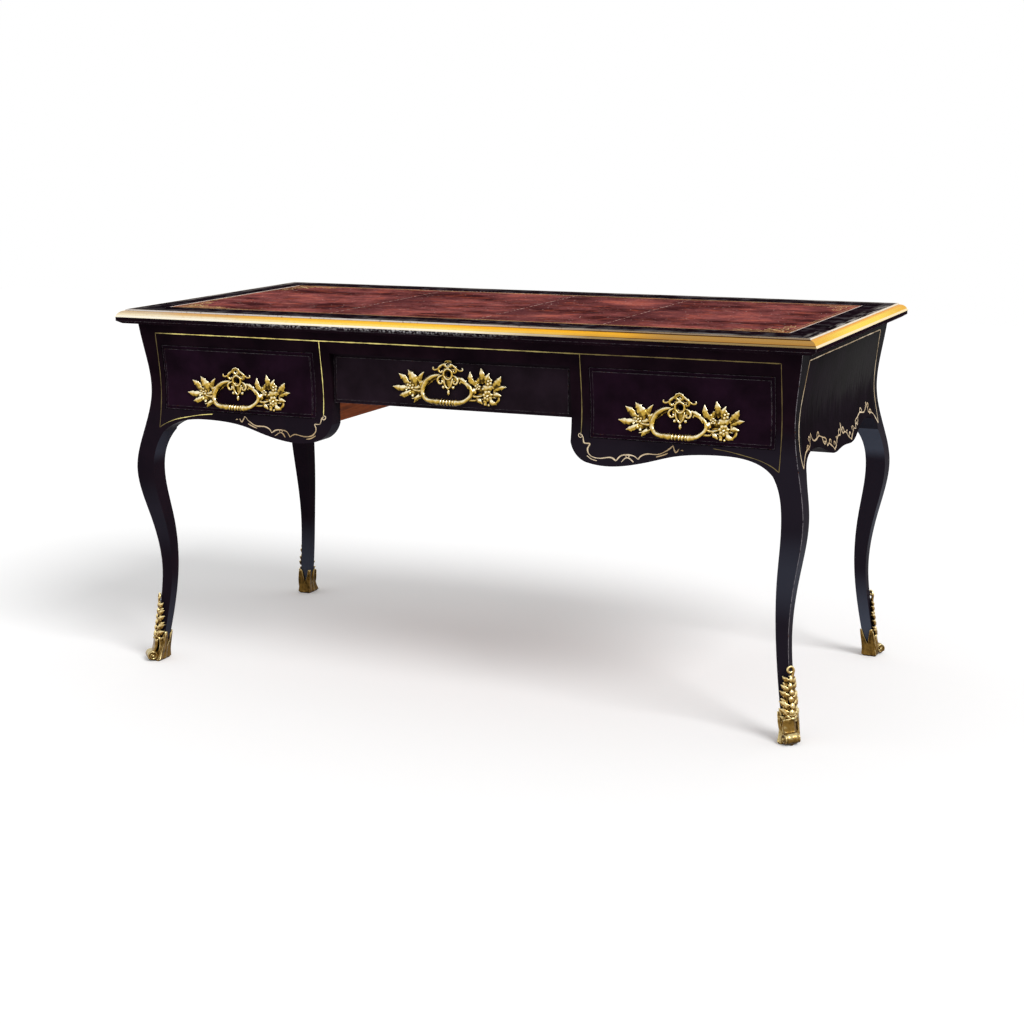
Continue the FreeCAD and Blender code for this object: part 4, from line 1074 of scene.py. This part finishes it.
def pullMesh(name, master, profile, tail):          # bent to the face behind it, with its two shanks
    mesh = master.copy()
    mesh.name = name
    spots = points(mesh)
    turned = np.column_stack([spots[:, 0], -spots[:, 2], spots[:, 1]])
    turned[:, 1] -= np.interp(turned[:, 2], *profile)
    setPoints(mesh, turned)
    cast = ([], [])
    for x, z in pull["posts"]:
        addTube(cast, [(x, 1.0, z), (x, tail * 0.5, z), (x, tail, z)], (pull["shank"],) * 3, step=6, sides=16)
    extra = looseMesh("shanks", cast)
    joined = addObject(name, mesh)
    pair = [joined, addObject("shanks", extra)]
    with bpy.context.temp_override(active_object=joined, object=joined, selected_objects=pair,
                                   selected_editable_objects=pair):
        bpy.ops.object.join()
    bpy.data.objects.remove(joined, do_unlink=True)
    bpy.data.meshes.remove(extra)
    mesh.shade_smooth()
    return mesh


def faceProfile(name, x, keyZ, way):                # how the face behind a pull leaves its plane, by height
    tree = meshTree(name)
    levels, swell = [], []
    for dz in range(-75, 40, 3):
        hit = tree.ray_cast(Vector((x, way * 900, keyZ + dz)) * mm, Vector((0, -way, 0)))[0]
        if hit is not None:
            levels.append(dz * mm)
            swell.append(way * hit.y)
    flat = np.interp(0.0, levels, swell)
    return (np.array(levels), np.array(swell) - flat), flat * way


def makePulls():
    master = pullCasting()
    print("pull casting:", len(master.polygons), "faces")
    made = {}
    for kind, (x, z, behind, way, tail) in pull["kinds"].items():
        profile, face = faceProfile(behind, x + pull["beside"], z, way)
        mesh = pullMesh("pull_" + kind, master, profile, tail)
        turn = Matrix.Rotation(math.pi if way > 0 else 0.0, 4, "Z")
        made[kind] = (mesh, x, face, z, turn)
    bpy.data.meshes.remove(master)
    for name, kind, side, body, *stands in pull["hung"]:
        mesh, x, face, z, turn = made[kind]
        piece = place(name, mesh, pullGilt, body, "gilt_bronze", *stands)
        piece.matrix_world = Matrix.Translation((side * x * mm, face, z * mm)) @ turn
        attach(piece, body)
    print("pulls: six hung")


makePulls()


# shoes: points are (along the face from the arris, up, out) for the ornament
shoe = {
    "voxel": 0.62, "keep": 0.34, "round": 5.0, "faceX": 734.0, "faceY": 332.0, "skin": 1.2, "depth": 28.5, "tip": 63.0,
    "notch": 27.0, "shallow": 36.0, "kick": 13.0, "kickTop": 46.0, "flare": 2.4, "flareTop": 30.0, "floor": 6.0,
    "scroll": (((5, 12, 6), (10, 9, 6), (15, 15, 5), (16.5, 26, 4.4), (15, 38, 4.2), (11, 48, 4.6), (5.5, 53, 5.2),
                (4, 47, 5)),
               (2.2, 2.6, 2.9, 2.9, 2.8, 2.7, 2.4, 1.7)),
    # ribs: start and end along the face, height
    "ribs": ((9, 19, 42), (12, 22.5, 51), (16, 26, 59)), "ribGirth": (2.1, 2.0, 1.7, 1.0),
    "stem": (((5.4, 52, 2.6), (5.8, 75, 2.8), (5.0, 100, 2.8), (4.0, 124, 3.0)), (2.0, 1.9, 1.7, 1.5)),
    # leaf clusters: height, reach, rise, width
    "clusters": ((46, 23, 18, 16), (63, 21.5, 19, 15), (80, 19, 18, 14), (97, 15.5, 17, 12.5), (112, 11.5, 15, 10)),
    "drops": (59, 126, 12.6), "collar": ((-6, 51), (0, 48.5), (6, 51), (0, 55)),
    # the body's levels as shares of its height, and how far some draw in
    "levels": (0.0, 0.05, 0.12, 0.22, 0.4, 0.6, 0.8, 0.93, 1.0), "drawIn": {0.0: 2.6, 0.05: 0.7, 1.0: 1.6},
    "grow": 3.3,
    "plug": (16.0, 0.5, 40.0), "corners": ((1, 1, 0), (-1, 1, 90), (-1, -1, 180), (1, -1, 270)),
    "leafRib": ((3, 20, 40, 60), (1.8, 1.8, 1.6, 1.2)), "ribOut": 3.6,
    "heart": (-2.5, 10.0, 12.2), "roll": ((-15, -12, 0, 12, 15), (9.6, 12.0, 11.4, 12.0, 9.6)),
    # the sweep into the roll: ahead of its heart, above it
    "sweep": ((-10.5, 36), (-9.0, 24), (-6.5, 15), (-3.5, 9.0), (0.0, 4.0)), "sweepGirth": (3.4, 3.6, 3.6, 3.0, 2.4),
    "fern": (2.6, 2.9, 3.0, 3.0, 2.9, 2.7, 2.4, 2.0), "fernStart": ((112, 2.6, 0.0), (124, 3.6, 4.0)),
}


def cornerProfile():                                # how far the leg's outer arris stands from the face planes
    tree = meshTree("leg_back_right")
    levels = np.arange(6, 200, 4.0)
    swell = []
    for z in levels:
        hits = [tree.ray_cast(Vector((1200, y, z)) * mm, Vector((-1, 0, 0)))[0] for y in (322, 314, 305)]
        swell.append(max(hit.x for hit in hits if hit is not None) / mm - shoe["faceX"])
    return levels, np.array(swell)


def wrapCorner(spots, arris):                       # the flat ornament bent round the outer corner
    along, up, out = spots[:, 0], spots[:, 1], spots[:, 2] + shoe["skin"]
    r = shoe["round"]
    arc = r * math.pi / 4
    s = np.interp(up, *arris)
    bend = np.clip(along, -arc, arc) / r + math.pi / 4
    run = np.sign(along) * np.maximum(np.abs(along) - arc, 0)
    x = shoe["faceX"] + s - r + (r + out) * np.cos(bend) - np.maximum(run, 0)
    y = shoe["faceY"] + s - r + (r + out) * np.sin(bend) - np.maximum(-run, 0)
    return np.column_stack([x, y, up])


def shoeSpot(arris, corner, a, z, grow):            # a point of the shoe's rounded square at height z
    s, r = float(np.interp(max(z, shoe["floor"]), *arris)), shoe["round"]
    flare = grow + shoe["flare"] * max(0, 1 - z / shoe["flareTop"]) ** 2
    edge = {1: s + flare - r, -1: s + flare - shoe["depth"] - 2 * max(0, flare - 3) + r}
    kick = shoe["kick"] * max(0, 1 - z / shoe["kickTop"]) ** 2 if corner[1] > 0 else 0.0
    x, y = shoe["faceX"] + edge[corner[0]], shoe["faceY"] + edge[corner[1]] + kick
    return np.array((x + r * math.cos(a), y + r * math.sin(a), z))


def shoeOrnament():
    cast = ([], [])
    for way in (-1, 1):
        # C-scroll from the toe to the collar, ribs fanning from the toe to the inner leaf, stem beside the chain
        tubes = [shoe["scroll"]]
        for near, far, tall in shoe["ribs"]:
            path = ((near, 4, 3.4), (near + 5, 17, 3.6), (far * 0.96, 34, 3.2), (far, tall, 2.8))
            tubes.append((path, shoe["ribGirth"]))
        for path, girth in tubes + [shoe["stem"]]:
            addTube(cast, [(way * x, z, out) for x, z, out in path], girth)
        for k, (z, reach, tall, width) in enumerate(shoe["clusters"]):           # leaves spreading from the chain
            z += 1.8 * way * (-1) ** k
            addLeaf(cast, (way * 4, z, 2.4), (way * reach, z + tall, 4.6), width, bend=0.16 * way, lift=4.2, curl=1.8,
                    lobes=3, thick=4.5, saw=0.34)
            addLeaf(cast, (way * 4, z - 3, 1.6), (way * reach * 0.95, z + tall * 0.2, 3.0), width * 0.8,
                    bend=-0.14 * way, lift=2.6, curl=1.2, lobes=2, thick=4.0, saw=0.34)
            addBead(cast, (way * reach * 0.55, z + tall * 0.5, 6.4), (2.2, 3.0, 2.2))
    for k, z in enumerate(np.arange(*shoe["drops"])):         # chain of long drops down the arris
        addBead(cast, (0.5 * (-1) ** k, z, 4.0), (2.9 - 0.15 * k, 6.3, 3.4))
        addBead(cast, (0, z + 6.4, 3.0), (1.9, 1.6, 2.2))
    for x, z in shoe["collar"]:
        addBead(cast, (x, z, 4.4), (3.8, 3.0, 3.0))
    return cast


def shoeBody(arris):                                # leaf tips at the corners, notched faces, a kicked toe
    solid, corners, stations = ([], []), shoe["corners"], []
    for k, (_, _, begin) in enumerate(corners):
        stations += [(k, k, 0.0, math.radians(begin + 22.5 * t), 0.0) for t in range(5)]
        stations += [(k, (k + 1) % 4, t / 8, math.radians(begin + 90), 1 - abs(t / 4 - 1)) for t in range(1, 8)]
    rings = []
    for share in shoe["levels"]:
        ring = []
        for k, n, t, a, inner in stations:
            notch = shoe["notch"] if k in (1, 2) else shoe["shallow"]   # deeper on the two inner faces
            z = share * (notch + (shoe["tip"] - notch) * (1 - inner) ** 1.3)
            grow = shoe["grow"] + 0.5 * math.cos(6 * math.pi * inner) - shoe["drawIn"].get(share, 0.0)
            one, two = (shoeSpot(arris, corners[c], a, z, grow) for c in (k, n))
            ring.append(one * (1 - t) + two * t)
        rings.append(ring)
    back, radius, high = shoe["plug"]
    rings.append([(shoe["faceX"] - back + radius * math.cos(a), shoe["faceY"] - back + radius * math.sin(a), high)
                  for a in np.linspace(0, 2 * math.pi, len(stations), endpoint=False)])
    addShell(solid, np.array(rings))
    heights, girth = shoe["leafRib"]
    for corner in corners[1:]:                      # a rib up each leaf
        a = math.radians(corner[2] + 45)
        addTube(solid, [shoeSpot(arris, corner, a, z, shoe["ribOut"]) for z in heights], girth)

    # rolled toe, level across the corner
    s = float(np.interp(8, *arris))
    heart = np.array([shoe["faceX"] + s, shoe["faceY"] + s, 0]) + np.array(shoe["heart"])
    across, ahead, above = np.array([0.7071, -0.7071, 0]), np.array([0.7071, 0.7071, 0]), np.array([0, 0, 1.0])
    addTube(solid, [heart + across * t for t in shoe["roll"][0]], shoe["roll"][1], step=1.5, sides=28)
    curl = list(shoe["fernStart"])
    for share in np.linspace(0, 1, 12):             # fern tip that curls over the stem
        a, far = -0.5 + 6.2 * share, 8.0 - 4.6 * share
        curl.append((140 + far * math.sin(a), 5.0 + 1.5 * share, far * math.cos(a)))
    path = []
    for up, out, side in curl:
        s = float(np.interp(up, *arris)) - 1.5
        path.append(np.array([shoe["faceX"] + s, shoe["faceY"] + s, up]) + ahead * out + across * side)
    addTube(solid, path, shoe["fern"])
    for t in np.linspace(-9, 9, 7):                 # the panel sweeps down into the roll
        addTube(solid, [heart + across * t + ahead * a + above * h for a, h in shoe["sweep"]], shoe["sweepGirth"])
    for way in (-1, 1):                             # an eye and a spiral at each end of the roll
        addBead(solid, heart + across * way * 15.5, (3.6, 3.6, 3.6))
        spiral = [heart + across * way * 14.4 + ahead * (r * math.cos(a)) + above * (r * math.sin(a))
                  for r, a in zip(np.linspace(10.4, 4.8, 14), np.linspace(-0.6, 7.2, 14))]
        addTube(solid, spiral, (1.7,) * 14)
    return solid


def makeShoes():
    arris = cornerProfile()
    cast, (verts, faces) = shoeOrnament(), shoeBody(arris)
    faces = faces + [tuple(len(verts) + i for i in f) for f in cast[1]]
    verts = verts + wrapCorner(np.array(cast[0]), arris).tolist()
    master = castMesh("shoeCasting", (verts, faces), shoe["voxel"], shoe["keep"])
    spots = points(master)
    spots[:, 2] = np.maximum(spots[:, 2], 0.0)
    print("shoe casting:", len(master.polygons), "faces")
    for name, sx, sy in (("back_right", 1, 1), ("front_right", 1, -1), ("back_left", -1, 1), ("front_left", -1, -1)):
        mesh = master.copy()
        mesh.name = "shoe_" + name
        setPoints(mesh, spots * np.array([sx, sy, 1]))
        if sx * sy < 0:
            mesh.flip_normals()
        place("shoe_" + name, mesh, shoeGilt, "carcass", "gilt_bronze", "sabot_" + name)
    bpy.data.meshes.remove(master)
    print("shoes: four")


makeShoes()

bpy.context.view_layer.update()
